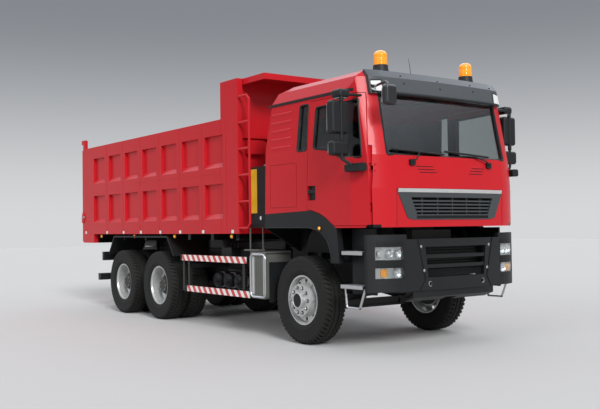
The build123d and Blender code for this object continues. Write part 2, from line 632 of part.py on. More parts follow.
def fenders():
    """The wheel arches' black bands, from behind the wheel over it and down in front."""
    upper = [(x, z - SEAT) for x, z in CAB_SIDE[:6]] + [(800, 1300), (822, 1150), (832, 1012)]
    lower = [(700, 1012), (680, 1150), (610, 1290), (470, 1385), (280, 1425), (-674, 1430)]
    band = side_prism(upper + lower, (1150, 1235))
    inner = [(px, pz + 18) for px, pz in lower]
    liner = side_prism(lower + list(reversed(inner)), (640, 1150))
    return both_sides(band + liner)


def seats():
    parts = None
    for y in (-640, 640):
        chair = block((60, 580), (y - 245, y + 245), (1790, 1930)) + block((-60, 80), (y - 235, y + 235), (1900, 2620))
        chair += block((-40, 60), (y - 130, y + 130), (2620, 2800))
        chair += block((120, 480), (y - 150, y + 150), (1500, 1790)) & cab_envelope(CAB_T)
        parts = chair if parts is None else parts + chair
    return parts


def dashboard():
    dash = side_prism([(1080, TUNNEL_Z), (1500, TUNNEL_Z), (1500, 2190), (1150, 2210), (1020, 2100), (1020, 1960)],
                      (-DASH_HALF, DASH_HALF)) & cab_envelope(CAB_T + 2)
    post = rod((1080, 620, 1900), (850, 620, 2130), 32)
    plane = Plane(origin=(850, 620, 2130), z_dir=(-230, 0, 230))
    wheel = plane * Torus(215, 17)
    wheel += plane * Box(420, 36, 20) + plane * Cylinder(60, 40)
    return dash + post + wheel


def visor():
    """The sun visor wraps the cab's top front edge, with a lamp at each corner."""
    form = cab_envelope(-VISOR_OUT) & block((1110, 1500), (-VISOR_HALF, VISOR_HALF), (SCREEN_TOP_Z - 4, ROOF_TOP_Z + 6))
    return (form + front_mirror()) - cab_envelope(0)


def beacons():
    parts = None
    for y in (-713, 713):
        x = 1008
        form = Polyline((78, 3440), (78, 3300), (84, 3300), (84, ROOF_TOP_Z), (0, ROOF_TOP_Z), (0, 3479))
        form += ThreePointArc((0, 3479), (48, 3470), (78, 3440))
        lamp = revolve(Plane.XZ * make_face(form), Axis.Z)
        lamp = Pos(x, y, 0) * lamp
        parts = lamp if parts is None else parts + lamp
    return parts


def mirrors():
    """On the left door: pod, arms and three heads; the right door has the mirror image."""
    pod = block((1060, 1250), (1150, 1320), (2040, 2130)) + block((1250, 1318), (1212, 1320), (2040, 2130))
    main_head = block((1005, 1125), (1297, 1530), (2460, 2830))
    wide_head = block((1020, 1135), (1297, 1530), (2215, 2382))
    kerb = block((980, 1150), (1290, 1440), (2860, 2960))
    main_head = fillet(main_head.edges(), HEAD_ROUND)
    wide_head = fillet(wide_head.edges(), HEAD_ROUND)
    kerb = fillet(kerb.edges(), HEAD_ROUND)
    pod = fillet(pod.edges().filter_by(Axis.X), 25)
    arm = bent_bar([(1180, 1290, 2100), (1120, 1400, 2180), (1120, 1400, 2900)], 16)
    top = bent_bar([(1120, 1400, 2900), (1150, 1110, 2900)], 16)
    return (pod + main_head + wide_head + kerb + arm + top) - cab_envelope(0)


def front_mirror():
    arm = bent_bar([(1200, -1020, 2990), (1500, -1080, 3010), (1590, -1110, 2960)], 14)
    head = block((MIRROR_REACH - 95, MIRROR_REACH), (-1190, -1030), (2740, 2960))
    return arm + fillet(head.edges(), HEAD_ROUND)


def bumper_plan(inset, z):
    """The bumper's plan, inset by a wall and carried up, open behind its rear edge."""
    plan = Pos(0, 0, z[0]) * extrude(nose_plan(BUMPER_PLAN, 900, inset), z[1] - z[0])
    return plan - block((900, BUMPER_REAR_X), (-1400, 1400), (z[0] - 1, z[1] + 1))


def bumper():
    low = (BUMPER_LOW_Z, BUMPER_CORNER_TOP_Z)
    shell = bumper_plan(0, low) - bumper_plan(50, (600, 1400))
    shell -= block((1200, 1600), (-760, 760), (BUMPER_TOP_Z, 1400))
    shell -= front_prism([(-500, 1190), (-460, 845), (460, 845), (500, 1190)], (1300, 1600))
    for y in (-LAMP_Y, LAMP_Y):
        for height in (LAMP_Z, FOG_Z):
            shell -= block((1200, 1600), (y - LAMP_HALF, y + LAMP_HALF), height)
    bars = front_prism([(-520, 1100), (520, 1100), (520, 1060), (-520, 1060)], (1452, 1482))
    bars += front_prism([(-520, 990), (520, 990), (520, 950), (-520, 950)], (1452, 1482))
    shell += bars & bumper_plan(8, low)
    for y in TOW_HOLE_YS:
        shell -= rod((1350, y, TOW_HOLE_Z), (1550, y, TOW_HOLE_Z), TOW_HOLE_R)
    slit = front_prism([(-640, 1285), (-600, 1285), (-500, 822), (-585, 690), (-605, 690), (-522, 822)],
                       (FRONT_REACH - 62, 1600))
    slit = slit & (bumper_plan(-10, (680, 1300)) - bumper_plan(BUMPER_SLIT, (650, 1350)))
    shell -= slit + mirror(slit, about=Plane.XZ)
    skid = side_prism([(1462, 704), (1448, 622), (1300, 568), (1280, 590), (1420, 640), (1432, 704)], (-661, 661))
    shell += (skid & bumper_plan(20, (560, 705))) - block((1270, TOW_X + 80), (-TOW_NOTCH_HALF, TOW_NOTCH_HALF), (500, 712))
    bracket = block((FRAME_FRONT_X - 60, 1455), (RAIL_OUT_Y - RAIL_FLANGE, RAIL_OUT_Y), (720, 840)) - block(
        (FRAME_FRONT_X - 70, FRAME_FRONT_X), (RAIL_OUT_Y - RAIL_FLANGE - 1, RAIL_OUT_Y + 1), (700, 1000))
    return shell + both_sides(bracket)


def headlamps():
    lens = bumper_plan(6, (LAMP_Z[0] + SEAT, LAMP_Z[1] - SEAT)) - bumper_plan(49, (1000, 1300))
    fog = bumper_plan(6, (FOG_Z[0] + SEAT, FOG_Z[1] - SEAT)) - bumper_plan(49, (800, 1000))
    parts = None
    for y in (-LAMP_Y, LAMP_Y):
        reach = (y - LAMP_HALF + SEAT, y + LAMP_HALF - SEAT)
        unit = (lens & block((1250, 1600), reach, (1000, 1300))) + (fog & block((1250, 1600), reach, (800, 1000)))
        parts = unit if parts is None else parts + unit
    return parts


def steps():
    """Step housing, two treads and the hoop below, on arms from the rail."""
    panel = block((840, 1238), (1010, 1040), (660, 1400))
    part = panel + block((870, 1236), (1040, 1225), (1115, 1150)) + block((846, 1236), (1040, 1225), (735, 770))
    part += block((900, 980), (RAIL_OUT_Y, 1010), (850, 930))
    part += bent_bar([(880, 1180, 740), (905, 1180, 515), (1130, 1180, 515), (1225, 1180, 740)], 12)
    return both_sides(part)


def bed():
    """Floor with its bearers, two pressed sides and the headboard with its hoist well."""
    side = side_prism([(BODY_REAR_X, GATE_LOW_Z), (PANEL_FIRST_X, GATE_LOW_Z), (PANEL_FIRST_X, SIDE_LOW_Z),
                       (BODY_FRONT_X, SIDE_LOW_Z), (BODY_FRONT_X, POST_TOP_Z), (POST_REAR_X, POST_TOP_Z),
                       (POST_REAR_X, SIDE_TOP_Z), (BODY_REAR_X, SIDE_TOP_Z)],
                      (BODY_HALF - SIDE_T, BODY_HALF))
    recesses = []
    for i in range(PANELS):
        x = PANEL_FIRST_X + i * PANEL_PITCH
        for low, high in (UPPER_ROW, LOWER_ROW):
            cut = front_prism([(BODY_HALF + 1, low), (BODY_HALF, low), (BODY_HALF - PANEL_DEEP, low + SILL_RISE),
                               (BODY_HALF - PANEL_DEEP, high), (BODY_HALF + 1, high)], (x, x + PANEL_W))
            recesses.append(cut)
    side -= recesses
    inside = BODY_HALF - SIDE_T
    floor = block((BODY_REAR_X, BODY_FRONT_X), (-inside, inside), (SIDE_LOW_Z, SIDE_LOW_Z + FLOOR_T))
    for i in range(PANELS + 1):
        x = PANEL_FIRST_X + 60 + i * PANEL_PITCH
        half = 590 if MUD_XS[0] < x < MUD_XS[1] else inside
        floor += block((x - 40, x + 40), (-half, half), (SIDE_LOW_Z - 90, SIDE_LOW_Z))
    beam = block((TIP_X - 60, BODY_FRONT_X - 60), (RAIL_OUT_Y - 80, RAIL_OUT_Y), (SUB_TOP_Z + 12, SIDE_LOW_Z))
    beam -= rod((TIP_X, 0, TIP_Z), (TIP_X, 600, TIP_Z), TIP_PIN_R + 36)
    hinge = rod((TIP_X, 289, TIP_Z), (TIP_X, 455, TIP_Z), TIP_PIN_R)
    for y in (289, 411):
        hinge += rod((TIP_X, y, TIP_Z), (TIP_X, y + 44, TIP_Z), 50)
        hinge += block((TIP_X - 50, TIP_X + 50), (y, y + 44), (TIP_Z, SIDE_LOW_Z))
    bolster = block((BODY_REAR_X, PANEL_FIRST_X), (-inside, inside), (GATE_LOW_Z, SIDE_LOW_Z))
    well = block((BODY_FRONT_X - 60 - WELL_DEEP, 0), (-WELL_HALF, WELL_HALF), (1000, SIDE_LOW_Z + FLOOR_T))
    floor = floor + bolster + both_sides(beam + hinge) - well
    front = BODY_FRONT_X - 60
    board = block((front - 50, front), (-inside, inside), (SIDE_LOW_Z + FLOOR_T, POST_TOP_Z))
    board += block((front, BODY_FRONT_X), (-inside, inside), (2660, 2710))
    top = WELL_TOP_Z
    base = SIDE_LOW_Z + FLOOR_T
    cut = side_prism([(front + 1, top), (front - 1, top), (front - WELL_DEEP, base), (front + 1, base)],
                     (-WELL_HALF, WELL_HALF))
    cover = side_prism([(front, top + 30), (front - 50, top + 30), (front - WELL_DEEP - 30, base), (front, base)],
                       (-WELL_HALF - 25, WELL_HALF + 25))
    board = board + cover - cut
    for y in (-EAR_IN_Y - 25, EAR_IN_Y):
        ear = side_prism([(front, HOIST_EYE_Z - 160), (HOIST_EYE_X + 30, HOIST_EYE_Z - 60),
                          (HOIST_EYE_X + 60, HOIST_EYE_Z + 30), (front, HOIST_EYE_Z + 140)], (y, y + 25))
        board += ear
    board -= rod((HOIST_EYE_X, -110, HOIST_EYE_Z), (HOIST_EYE_X, 110, HOIST_EYE_Z), HOIST_PIN_R + 1)
    ear = block((GATE_PIN_X - 40, BODY_REAR_X + 90), (BODY_HALF - 40, BODY_HALF), (SIDE_TOP_Z, GATE_PIN_Z + 20))
    hook = side_prism([(BODY_REAR_X + 60, 1740), (BODY_REAR_X - 20, 1760), (-REAR_REACH + 10, 1690), (-REAR_REACH + 10, 1570),
                       (BODY_REAR_X + 10, 1560), (BODY_REAR_X + 60, 1610)], (BODY_HALF - 4, BODY_HALF + 14))
    side += hook
    ear = ear - rod((GATE_PIN_X, BODY_HALF - 60, GATE_PIN_Z), (GATE_PIN_X, BODY_HALF + 60, GATE_PIN_Z),
                    GATE_PIN_R + PIN_CLEAR)
    ear -= block((GATE_PIN_X - 80, BODY_REAR_X), (BODY_HALF - 60, BODY_HALF + 60), (SIDE_TOP_Z - 1, GATE_PIN_Z - 60))
    return floor, side + ear, board


def cab_guard():
    """The canopy over the front of the body, and the ladder on the right post."""
    front = BODY_FRONT_X - 60
    half = BODY_HALF - CANOPY_INSET
    plate = block((front, GUARD_TIP_X), (-half, half), (POST_TOP_Z - 80, POST_TOP_Z))
    plate -= block((front - 1, GUARD_TIP_X - 30), (40 - half, half - 40), (POST_TOP_Z - 81, POST_TOP_Z - 12))
    y = -BODY_HALF + 20
    rail = bent_bar([(BODY_FRONT_X, y, LADDER_LOW_Z), (LADDER_X - 60, y, LADDER_LOW_Z), (LADDER_X, y, LADDER_LOW_Z + 60),
                     (LADDER_X, y, LADDER_TOP_Z - 60), (LADDER_X - 60, y, LADDER_TOP_Z),
                     (BODY_FRONT_X, y, LADDER_TOP_Z)], LADDER_R)
    for i in range(1, LADDER_RUNGS - 1):
        z = LADDER_LOW_Z + i * RUNG_PITCH
        rail += rod((BODY_FRONT_X, y, z), (LADDER_X, y, z), LADDER_R)
    return plate, rail


def tailgate():
    half = BODY_HALF - GATE_SIDE_GAP
    gate = block((-REAR_REACH, BODY_REAR_X - GAP), (-half, half), (GATE_LOW_Z + 20, SIDE_TOP_Z - 10))
    for i in range(4):
        low = 1300 + i * 410
        gate -= block((-REAR_REACH - 1, -REAR_REACH + 30), (125 - half, -30), (low, low + 300))
        gate -= block((-REAR_REACH - 1, -REAR_REACH + 30), (30, half - 125), (low, low + 300))
    arm_y = (BODY_HALF - ARM_INSET - 45, BODY_HALF - ARM_INSET)
    arm = block((-REAR_REACH, BODY_REAR_X - GAP), arm_y, (SIDE_TOP_Z - 12, GATE_PIN_Z))
    arm += rod((GATE_PIN_X, arm_y[0], GATE_PIN_Z), (GATE_PIN_X, arm_y[1], GATE_PIN_Z), 30)
    arm += rod((GATE_PIN_X, arm_y[0], GATE_PIN_Z), (GATE_PIN_X, BODY_HALF, GATE_PIN_Z), GATE_PIN_R)
    return gate + both_sides(arm)


def hoist():
    """A barrel on its pin and three stages, all round one line from base to eye."""
    base = Vector(HOIST_BASE_X, 0, HOIST_BASE_Z)
    eye = Vector(HOIST_EYE_X, 0, HOIST_EYE_Z)
    line = (eye - base).normalized()
    length = (eye - base).length
    at = lambda s: tuple(base + line * s)
    parts = []
    for i in range(3):
        outer = BARREL_R - i * STAGE_STEP
        low = 75 if i == 0 else 90 + 15 * i
        high = 1420 + 25 * i
        tube = rod(at(low), at(high), outer) - rod(at(low + 12), at(high - GLAND), outer - STAGE_WALL)
        tube -= rod(at(high - GLAND - 1), at(high + 10), outer - STAGE_STEP + PIN_CLEAR)
        parts.append(tube)
    parts[0] += rod(at(0), at(80), 50)
    half = HOIST_EYE_HALF
    parts[0] += rod((base.X, -half, base.Z), (base.X, half, base.Z), 60)
    parts[0] += rod((base.X, -half - 56, base.Z), (base.X, half + 56, base.Z), HOIST_PIN_R)
    plunger = rod(at(140), at(length - 20), BARREL_R - 3 * STAGE_STEP)
    plunger += rod((eye.X, -50, eye.Z), (eye.X, 50, eye.Z), 55)
    plunger += rod((eye.X, SEAT - EAR_IN_Y, eye.Z), (eye.X, EAR_IN_Y - SEAT, eye.Z), HOIST_PIN_R)
    return parts + [plunger]


def main():
    os.makedirs("parts", exist_ok=True)
    for side, sign in (("left", 1), ("right", -1)):
        front_wheel(side, sign)
        twin_wheel("mid", side, sign, MID_X)
        twin_wheel("rear", side, sign, REAR_X)
        put(f"knuckle_{side}", knuckle(sign))
    put("chassis_frame", chassis_frame() + chassis_fittings())
    put("tip_subframe", tip_subframe())
    put("front_axle", front_axle())
    put("rear_axles", rear_axles())
    put("powertrain", *powertrain())
    put("battery_box", battery_box())
    put("fuel_tank", fuel_tank())
    put("air_tanks", air_tanks())
    put("oil_tank", oil_tank())
    put("side_guards", side_guards())
    put("mud_guards", mud_guards())
    bar, lamps = rear_underrun()
    put("rear_underrun", bar)
    put("tail_lamps", lamps)
    put("bumper", bumper())
    put("headlamps", headlamps())
    put("cab_steps", steps())
    body, roof, front, door, pane, quarter, wind = cab()
    put("cab_shell", body + tilt_arms())
    put("cab_roof", roof)
    put("cab_front", front)
    put("front_grille", grille())
    put("cab_glass", both_sides(quarter), wind)
    put("door_left", door)
    put("door_right", other_side(door))
    put("door_glass_left", pane)
    put("door_glass_right", other_side(pane))
    put("mirrors_left", mirrors())
    put("mirrors_right", other_side(mirrors()))
    put("cab_fenders", fenders())
    put("seats", seats())
    put("dashboard", dashboard())
    put("sun_visor", visor())
    put("beacons", beacons())
    floor, side, board = bed()
    put("bed_floor", floor)
    put("bed_side_left", side)
    put("bed_side_right", other_side(side))
    put("bed_headboard", board)
    plate, ladder = cab_guard()
    put("cab_guard", plate)
    put("ladder", ladder)
    put("tailgate", tailgate())
    for name, part in zip(("hoist_barrel", "hoist_stage_1", "hoist_stage_2", "hoist_rod"), hoist()):
        put(name, part)


main()
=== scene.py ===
"""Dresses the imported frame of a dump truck: tyres, glass, lamps, trim, fittings and paint."""

import math

import bpy
import numpy as np
from mathutils import Matrix, Vector
from mathutils.bvhtree import BVHTree


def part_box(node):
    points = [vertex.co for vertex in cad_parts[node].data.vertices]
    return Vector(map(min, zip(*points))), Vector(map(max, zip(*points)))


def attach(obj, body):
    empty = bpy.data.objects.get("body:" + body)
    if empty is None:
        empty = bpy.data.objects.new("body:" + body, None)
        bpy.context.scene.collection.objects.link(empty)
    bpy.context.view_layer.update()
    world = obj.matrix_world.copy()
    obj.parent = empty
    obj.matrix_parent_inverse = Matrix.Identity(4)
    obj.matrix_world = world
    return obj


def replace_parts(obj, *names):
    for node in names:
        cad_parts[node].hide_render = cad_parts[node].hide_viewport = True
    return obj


bl_info = {
    "name": "Dump truck",
    "version": (1, 0, 0),
    "blender": (4, 5, 0),
    "location": "3D View > Sidebar > Truck",
    "description": "Adds tyres, glass, lamps, trim, fittings and paint to the packed frame of a dump truck",
    "category": "Add Mesh",
}

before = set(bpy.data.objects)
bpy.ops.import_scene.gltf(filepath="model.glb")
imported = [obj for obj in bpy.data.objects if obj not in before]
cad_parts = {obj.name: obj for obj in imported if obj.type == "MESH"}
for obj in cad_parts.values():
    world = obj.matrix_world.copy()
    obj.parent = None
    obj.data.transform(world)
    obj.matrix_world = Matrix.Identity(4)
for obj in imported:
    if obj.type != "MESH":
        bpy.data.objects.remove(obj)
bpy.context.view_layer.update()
FRONT_X = sum(corner[0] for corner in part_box("front_tyre_left")) / 2
SIDES = {"left": 1.0, "right": -1.0}

# Every shape below is in millimetres from the point under the front axle, with the left side at positive y.
# piece() turns them into the frame's metres.
AXLE_Z = 540
# Where the lines start that lay pieces on the truck's front, its sides and its roof
AHEAD, BESIDE, ABOVE = 1900, 1500, 3400
# How far from its axis a solid turned part starts, so that no face folds up
HAIR = 0.1


def at(*place):
    """A point given in millimetres from the front axle, in the frame's metres."""
    return np.asarray(place, float) / 1000 + (FRONT_X, 0, 0)


# Colours and materials

def linear(colour):
    """An sRGB hex colour as linear light, channel by channel; a colour that is linear already stays."""
    if not isinstance(colour, str):
        return [*colour, 1.0]
    channels = [int(colour[i:i + 2], 16) / 255 for i in (1, 3, 5)]
    return [c / 12.92 if c <= 0.04045 else ((c + 0.055) / 1.055) ** 2.4 for c in channels] + [1.0]


def add(tree, kind, inputs=None, **settings):
    """Adds a shader node with its settings; an input is a value or another node's output."""
    node = tree.nodes.new(kind)
    for name, value in settings.items():
        setattr(node, name, value)
    for name, value in (inputs or {}).items():
        if isinstance(value, bpy.types.NodeSocket):
            tree.links.new(value, node.inputs[name])
        else:
            node.inputs[name].default_value = value
    return node


def new_material(name):
    """An empty material with the Object coordinates that its patterns read."""
    material = bpy.data.materials.new(name)
    material.use_nodes = True
    tree = material.node_tree
    tree.nodes.clear()
    place = add(tree, "ShaderNodeTexCoord").outputs["Object"]
    return material, tree, place


def close(tree, values):
    """Links a shader with these values to a new output node."""
    shader = add(tree, "ShaderNodeBsdfPrincipled", values)
    add(tree, "ShaderNodeOutputMaterial", {"Surface": shader.outputs[0]})


def zoned(tree, place, tone, zones):
    """Another colour inside each box: there, place less the box's middle over its half size stays under 1."""
    for low, high, colour in zones:
        low, high = at(*low), at(*high)
        away = add(tree, "ShaderNodeVectorMath", {0: place, 1: (low + high) / 2}, operation="SUBTRACT")
        share = add(tree, "ShaderNodeVectorMath", {0: away.outputs[0], 1: (high - low) / 2},
                    operation="DIVIDE")
        size = add(tree, "ShaderNodeVectorMath", {0: share.outputs[0]}, operation="ABSOLUTE")
        x, y, z = add(tree, "ShaderNodeSeparateXYZ", {"Vector": size.outputs[0]}).outputs
        most = add(tree, "ShaderNodeMath", {0: x, 1: y}, operation="MAXIMUM")
        most = add(tree, "ShaderNodeMath", {0: most.outputs[0], 1: z}, operation="MAXIMUM")
        mask = add(tree, "ShaderNodeMath", {0: most.outputs[0], 1: 1.0}, operation="LESS_THAN")
        mixed = {0: mask.outputs[0], 6: tone, 7: linear(colour)}
        tone = add(tree, "ShaderNodeMix", mixed, data_type="RGBA").outputs[2]
    return tone


def coated(name, colour, other, patch_mm, bump_mm, bump_size_mm, rough,
           stretch=(1, 1, 1), zones=(), **surface):
    """A finish whose colour drifts between two tones and whose skin has a fine relief.

    Colour = mix of both tones by noise of patch_mm; roughness = rough plus or minus 0.05 by the same noise;
    height = noise of bump_size_mm, bump_mm deep, stretched along the direction of working. Inside each
    zone, a box in millimetres, the colour is another.
    """
    material, tree, place = new_material(name)
    laid_out = add(tree, "ShaderNodeMapping", {"Vector": place, "Scale": stretch}).outputs[0]
    patch = add(tree, "ShaderNodeTexNoise", {"Vector": laid_out, "Scale": 1000 / patch_mm, "Detail": 4.0})
    mixed = {0: patch.outputs["Fac"], 6: linear(colour), 7: linear(other)}
    tone = add(tree, "ShaderNodeMix", mixed, data_type="RGBA").outputs[2]
    dull = add(tree, "ShaderNodeMapRange", {
        "Value": patch.outputs["Fac"], "To Min": rough - 0.05, "To Max": rough + 0.05})
    grain = add(tree, "ShaderNodeTexNoise", {
        "Vector": laid_out, "Scale": 1000 / bump_size_mm, "Detail": 2.0})
    relief = add(tree, "ShaderNodeBump", {
        "Height": grain.outputs["Fac"], "Distance": bump_mm / 1000, "Strength": 0.6})
    close(tree, {"Base Color": zoned(tree, place, tone, zones), "Roughness": dull.outputs[0],
                 "Normal": relief.outputs[0], **surface})
    return material


def enamel(name, colour, shade, zones=()):
    """Sprayed two-pack enamel: wet gloss over a faint orange peel, so that reflections ripple slightly."""
    gloss = {"Coat Weight": 0.12, "Coat Roughness": 0.08, "IOR": 1.5, "Specular IOR Level": 0.14}
    return coated(name, colour, shade, 900, 0.08, 14, 0.34, zones=zones, **gloss)


def glass(name, tint):
    """Clear laminate or moulding: see-through, with a bright gloss at low angles."""
    material, tree, _place = new_material(name)
    close(tree, {"Base Color": linear(tint), "Roughness": 0.03, "IOR": 1.45, "Transmission Weight": 1.0})
    return material


def wave_scale(pitch_mm):
    """The Wave node's scale for one band each pitch_mm, where its own period is a full turn."""
    return 1000 / pitch_mm / math.tau


def lens(name, colour, pitch_mm):
    """Moulded acrylic lens: clear colour over rows of small prisms that break up the light, with a faint
    painted glow.
    """
    material, tree, place = new_material(name)
    rows = add(tree, "ShaderNodeTexWave", {"Vector": place, "Scale": wave_scale(pitch_mm)},
               bands_direction="Z")
    relief = add(tree, "ShaderNodeBump", {
        "Height": rows.outputs["Fac"], "Distance": 0.002, "Strength": 0.5})
    # The faint emission in the lens's own colour is painted light: a glow standing in for light caught inside
    # the lamp
    close(tree, {"Base Color": linear(colour), "Roughness": 0.08, "IOR": 1.49, "Transmission Weight": 0.25,
                 "Emission Color": linear(colour), "Emission Strength": 0.22,
                 "Coat Weight": 0.6, "Coat Roughness": 0.03, "Normal": relief.outputs[0]})
    return material


def striped(name, colour, other, width_mm):
    """Retroreflective tape: slanted bands of two colours, hard edged, under a clear film."""
    material, tree, place = new_material(name)
    along = add(tree, "ShaderNodeVectorMath", {0: place, 1: (1, 1, 0.75)}, operation="DOT_PRODUCT")
    bands = add(tree, "ShaderNodeMath", {0: along.outputs["Value"], 1: 2 * width_mm / 1000},
                operation="FLOORED_MODULO")
    pick = add(tree, "ShaderNodeMath", {0: bands.outputs[0], 1: width_mm / 1000}, operation="GREATER_THAN")
    cells = add(tree, "ShaderNodeTexVoronoi", {"Vector": place, "Scale": 220.0})
    relief = add(tree, "ShaderNodeBump", {"Height": cells.outputs["Distance"], "Distance": 0.0004})
    mixed = {0: pick.outputs[0], 6: linear(colour), 7: linear(other)}
    tone = add(tree, "ShaderNodeMix", mixed, data_type="RGBA").outputs[2]
    close(tree, {"Base Color": tone, "Roughness": 0.35, "Coat Weight": 0.4, "Normal": relief.outputs[0]})
    return material


def woven(name, colour, other, thread_mm):
    """Seat cloth: two sets of threads crossing, dull, with a soft sheen at its edges."""
    material, tree, place = new_material(name)
    threads = {"Vector": place, "Scale": wave_scale(thread_mm)}
    warp, weft = (add(tree, "ShaderNodeTexWave", threads, bands_direction=direction).outputs["Fac"]
                  for direction in "YZ")
    cross = add(tree, "ShaderNodeMath", {0: warp, 1: weft}, operation="MULTIPLY").outputs[0]
    relief = add(tree, "ShaderNodeBump", {"Height": cross, "Distance": 0.001})
    mixed = {0: cross, 6: linear(colour), 7: linear(other)}
    tone = add(tree, "ShaderNodeMix", mixed, data_type="RGBA").outputs[2]
    close(tree, {"Base Color": tone, "Roughness": 0.9, "Sheen Weight": 0.3, "Normal": relief.outputs[0]})
    return material


# Where the cab's steel is trimmed inside or waxed underneath, as boxes
TRIM_GREY = "#3F4144"
WAX_BLACK = "#121213"
TRIMMED = (
    ((-600, -1185, 1445), (-500, 1185, 2760)),
    ((-520, -1185, 1445), (1000, 1185, 2860)),
    ((-380, -1130, 2800), (900, 1130, 2985)),
    ((-330, -1050, 2900), (880, 1050, 3135)),
    ((900, -1000, 1445), (1150, 1000, 2930)),
)
WAXED = (
    ((900, -1000, 1445), (1300, 1000, 2225)),
    ((-700, -1180, 900), (1370, 1180, 1450)),
    ((-700, -1300, 900), (1370, 1300, 1345)),
)
CAB_ZONES = [(*box, TRIM_GREY) for box in TRIMMED] + [(*box, WAX_BLACK) for box in WAXED]
# The bearers under the body's floor are black
FLOOR_ZONES = (((-6850, -1185, 900), (-1300, 1185, 1352), "#151515"),)
# The mirror head over the screen's corner is black
VISOR_ZONES = (((1385, -1300, 2600), (1650, -900, 3060), "#17181A"),)
# How much darker the paint's second tone is, which noise mixes in patches
HOLLOW = 0.868


def make_materials(paint):
    """Every finish on the truck, by the name of what it really is."""
    hollow = [channel * HOLLOW for channel in paint]
    return {
        # Clean sprayed enamel, a little deeper in patches drawn by noise
        "red": enamel("red_enamel", paint, hollow),
        # The same outside the cab, with grey trim cloth within and black wax underneath
        "cab_red": enamel("cab_enamel", paint, hollow, CAB_ZONES),
        # The same over the body's floor, with chassis black on its bearers
        "floor_red": enamel("floor_enamel", paint, hollow, FLOOR_ZONES),
        # Moulded black polypropylene: dull, with a leather-like grain drawn at 5 mm to show
        "black": coated("black_polypropylene", "#131415", "#1A1B1C", 300, 0.25, 5, 0.5,
                        **{"Specular IOR Level": 0.28}),
        # Semi-gloss dark grey ABS, as moulded visors have
        "grey": coated("grey_abs", "#303437", "#393D40", 400, 0.1, 8, 0.38, zones=VISOR_ZONES,
                       **{"Coat Weight": 0.15}),
        # Satin chassis paint, with brush-thick runs and some road dust
        "chassis": coated("black_chassis_paint", "#141415", "#201F1D", 180, 0.4, 22, 0.45,
                          **{"Specular IOR Level": 0.35}),
        # Sand-cast iron, rough and dark
        "iron": coated("cast_iron", "#3B3B3A", "#4A4844", 90, 0.8, 6, 0.65, Metallic=0.3),
        # Silver wheel paint: fine metal flake under clear lacquer
        "silver": coated("silver_wheel_paint", "#C6C7C6", "#B4B5B4", 60, 0.06, 4, 0.36, Metallic=0.4),
        # Rolled aluminium, polished along its length
        "alloy": coated("rolled_aluminium", "#C9CBCC", "#B5B7B8", 200, 0.05, 3, 0.3, (0.15, 1, 1),
                        Metallic=1.0),
        # Hard chrome on a ground rod
        "chrome": coated("hard_chrome", "#D6D8DA", "#C8CACC", 300, 0.02, 3, 0.1, Metallic=1.0),
        # Moulded tyre rubber, dull black going grey where it rubs
        "rubber": coated("tyre_rubber", "#161615", "#22211F", 120, 0.3, 7, 0.72,
                         **{"Specular IOR Level": 0.25}),
        # Laminated screen and side glass with a grey-green tint
        "glass": glass("laminated_glass", "#C6CBCA"),
        # Moulded acrylic of beacons and lamps: clear colour over small prisms, with a faint painted glow
        "amber": lens("amber_acrylic", "#F7A600", 9),
        "red_lens": lens("red_acrylic", "#C40D12", 7),
        "clear_lens": lens("clear_acrylic", "#DDE1E4", 11),
        # Retroreflective tape, printed in slanted bands
        "tape": striped("striped_tape", "#C4222B", "#E9E7E2", 78),
        "corner_tape": striped("corner_tape", "#141414", "#E9E7E2", 45),
        # Woven seat cloth, dull and soft at its edges
        "cloth": woven("seat_cloth", "#2A2B2E", "#3A3B3F", 4),
        # Vacuum-plated reflector bowl, as bright as a mirror
        "mirror": coated("plated_bowl", "#E4E6E8", "#D8DADC", 300, 0.01, 5, 0.06, Metallic=1.0),
        # Yellow enamel plate, left blank
        "yellow": coated("yellow_enamel", "#E8B400", "#DDAA00", 200, 0.05, 8, 0.4),
        # White insulating plastic of the lamps' bodies
        "white": coated("white_abs", "#E6E6E4", "#DCDCDA", 200, 0.05, 6, 0.4),
        # Grey two-pack enamel on folded sheet
        "steel_grey": coated("grey_enamel", "#5F605C", "#555651", 240, 0.1, 12, 0.45),
        # Black enamel, as on air tanks
        "gloss_black": enamel("black_enamel", "#101112", "#17181A"),
        # Hard-coated clear polycarbonate of the lamps' covers
        "lens_glass": glass("clear_polycarbonate", "#F4F6F6"),
        # Zinc-plated steel of nuts and clips
        "zinc": coated("zinc_plate", "#B4B6B8", "#A2A4A6", 40, 0.05, 2, 0.42, Metallic=0.85),
    }


# Every material by its finish, once the finishes operator has made them
MATERIALS = {}

# The CAD nodes of each finish, by how their names start; the longest start that fits counts
NODES_OF = {
    "chassis": "chassis_frame tip_subframe front_axle rear_axles side_guards rear_underrun knuckle tow "
               "hoist_barrel",
    "black": "oil_tank mud_guards bumper cab_steps cab_fenders mirrors",
    "grey": "dashboard sun_visor front_grille",
    "cab_red": "cab door",
    "floor_red": "bed_floor",
    "red": "bed ladder tailgate",
    "rubber": "front_tyre mid_tyre rear_tyre",
    "silver": "front_rim mid_rim rear_rim",
    "glass": "cab_glass door_glass",
    "iron": "powertrain",
    "steel_grey": "battery_box",
    "alloy": "fuel_tank",
    "gloss_black": "air_tanks",
    "chrome": "hoist",
    "cloth": "seats",
    "amber": "beacons",
    "red_lens": "tail_lamps",
    "clear_lens": "headlamps",
}
FINISH_OF = {start: finish for finish, starts in NODES_OF.items() for start in starts.split()}


# Shapes as arrays of points and faces

def grid_faces(rows, columns, wrap_rows=False, wrap_columns=False):
    """Quads that join each point of a grid to its next neighbours along both parameters."""
    i = np.arange(rows if wrap_rows else rows - 1)
    j = np.arange(columns if wrap_columns else columns - 1)
    a, b = np.meshgrid(i, j, indexing="ij")
    c, d = (a + 1) % rows, (b + 1) % columns
    return np.stack([a * columns + b, c * columns + b, c * columns + d, a * columns + d], -1).reshape(-1, 4)


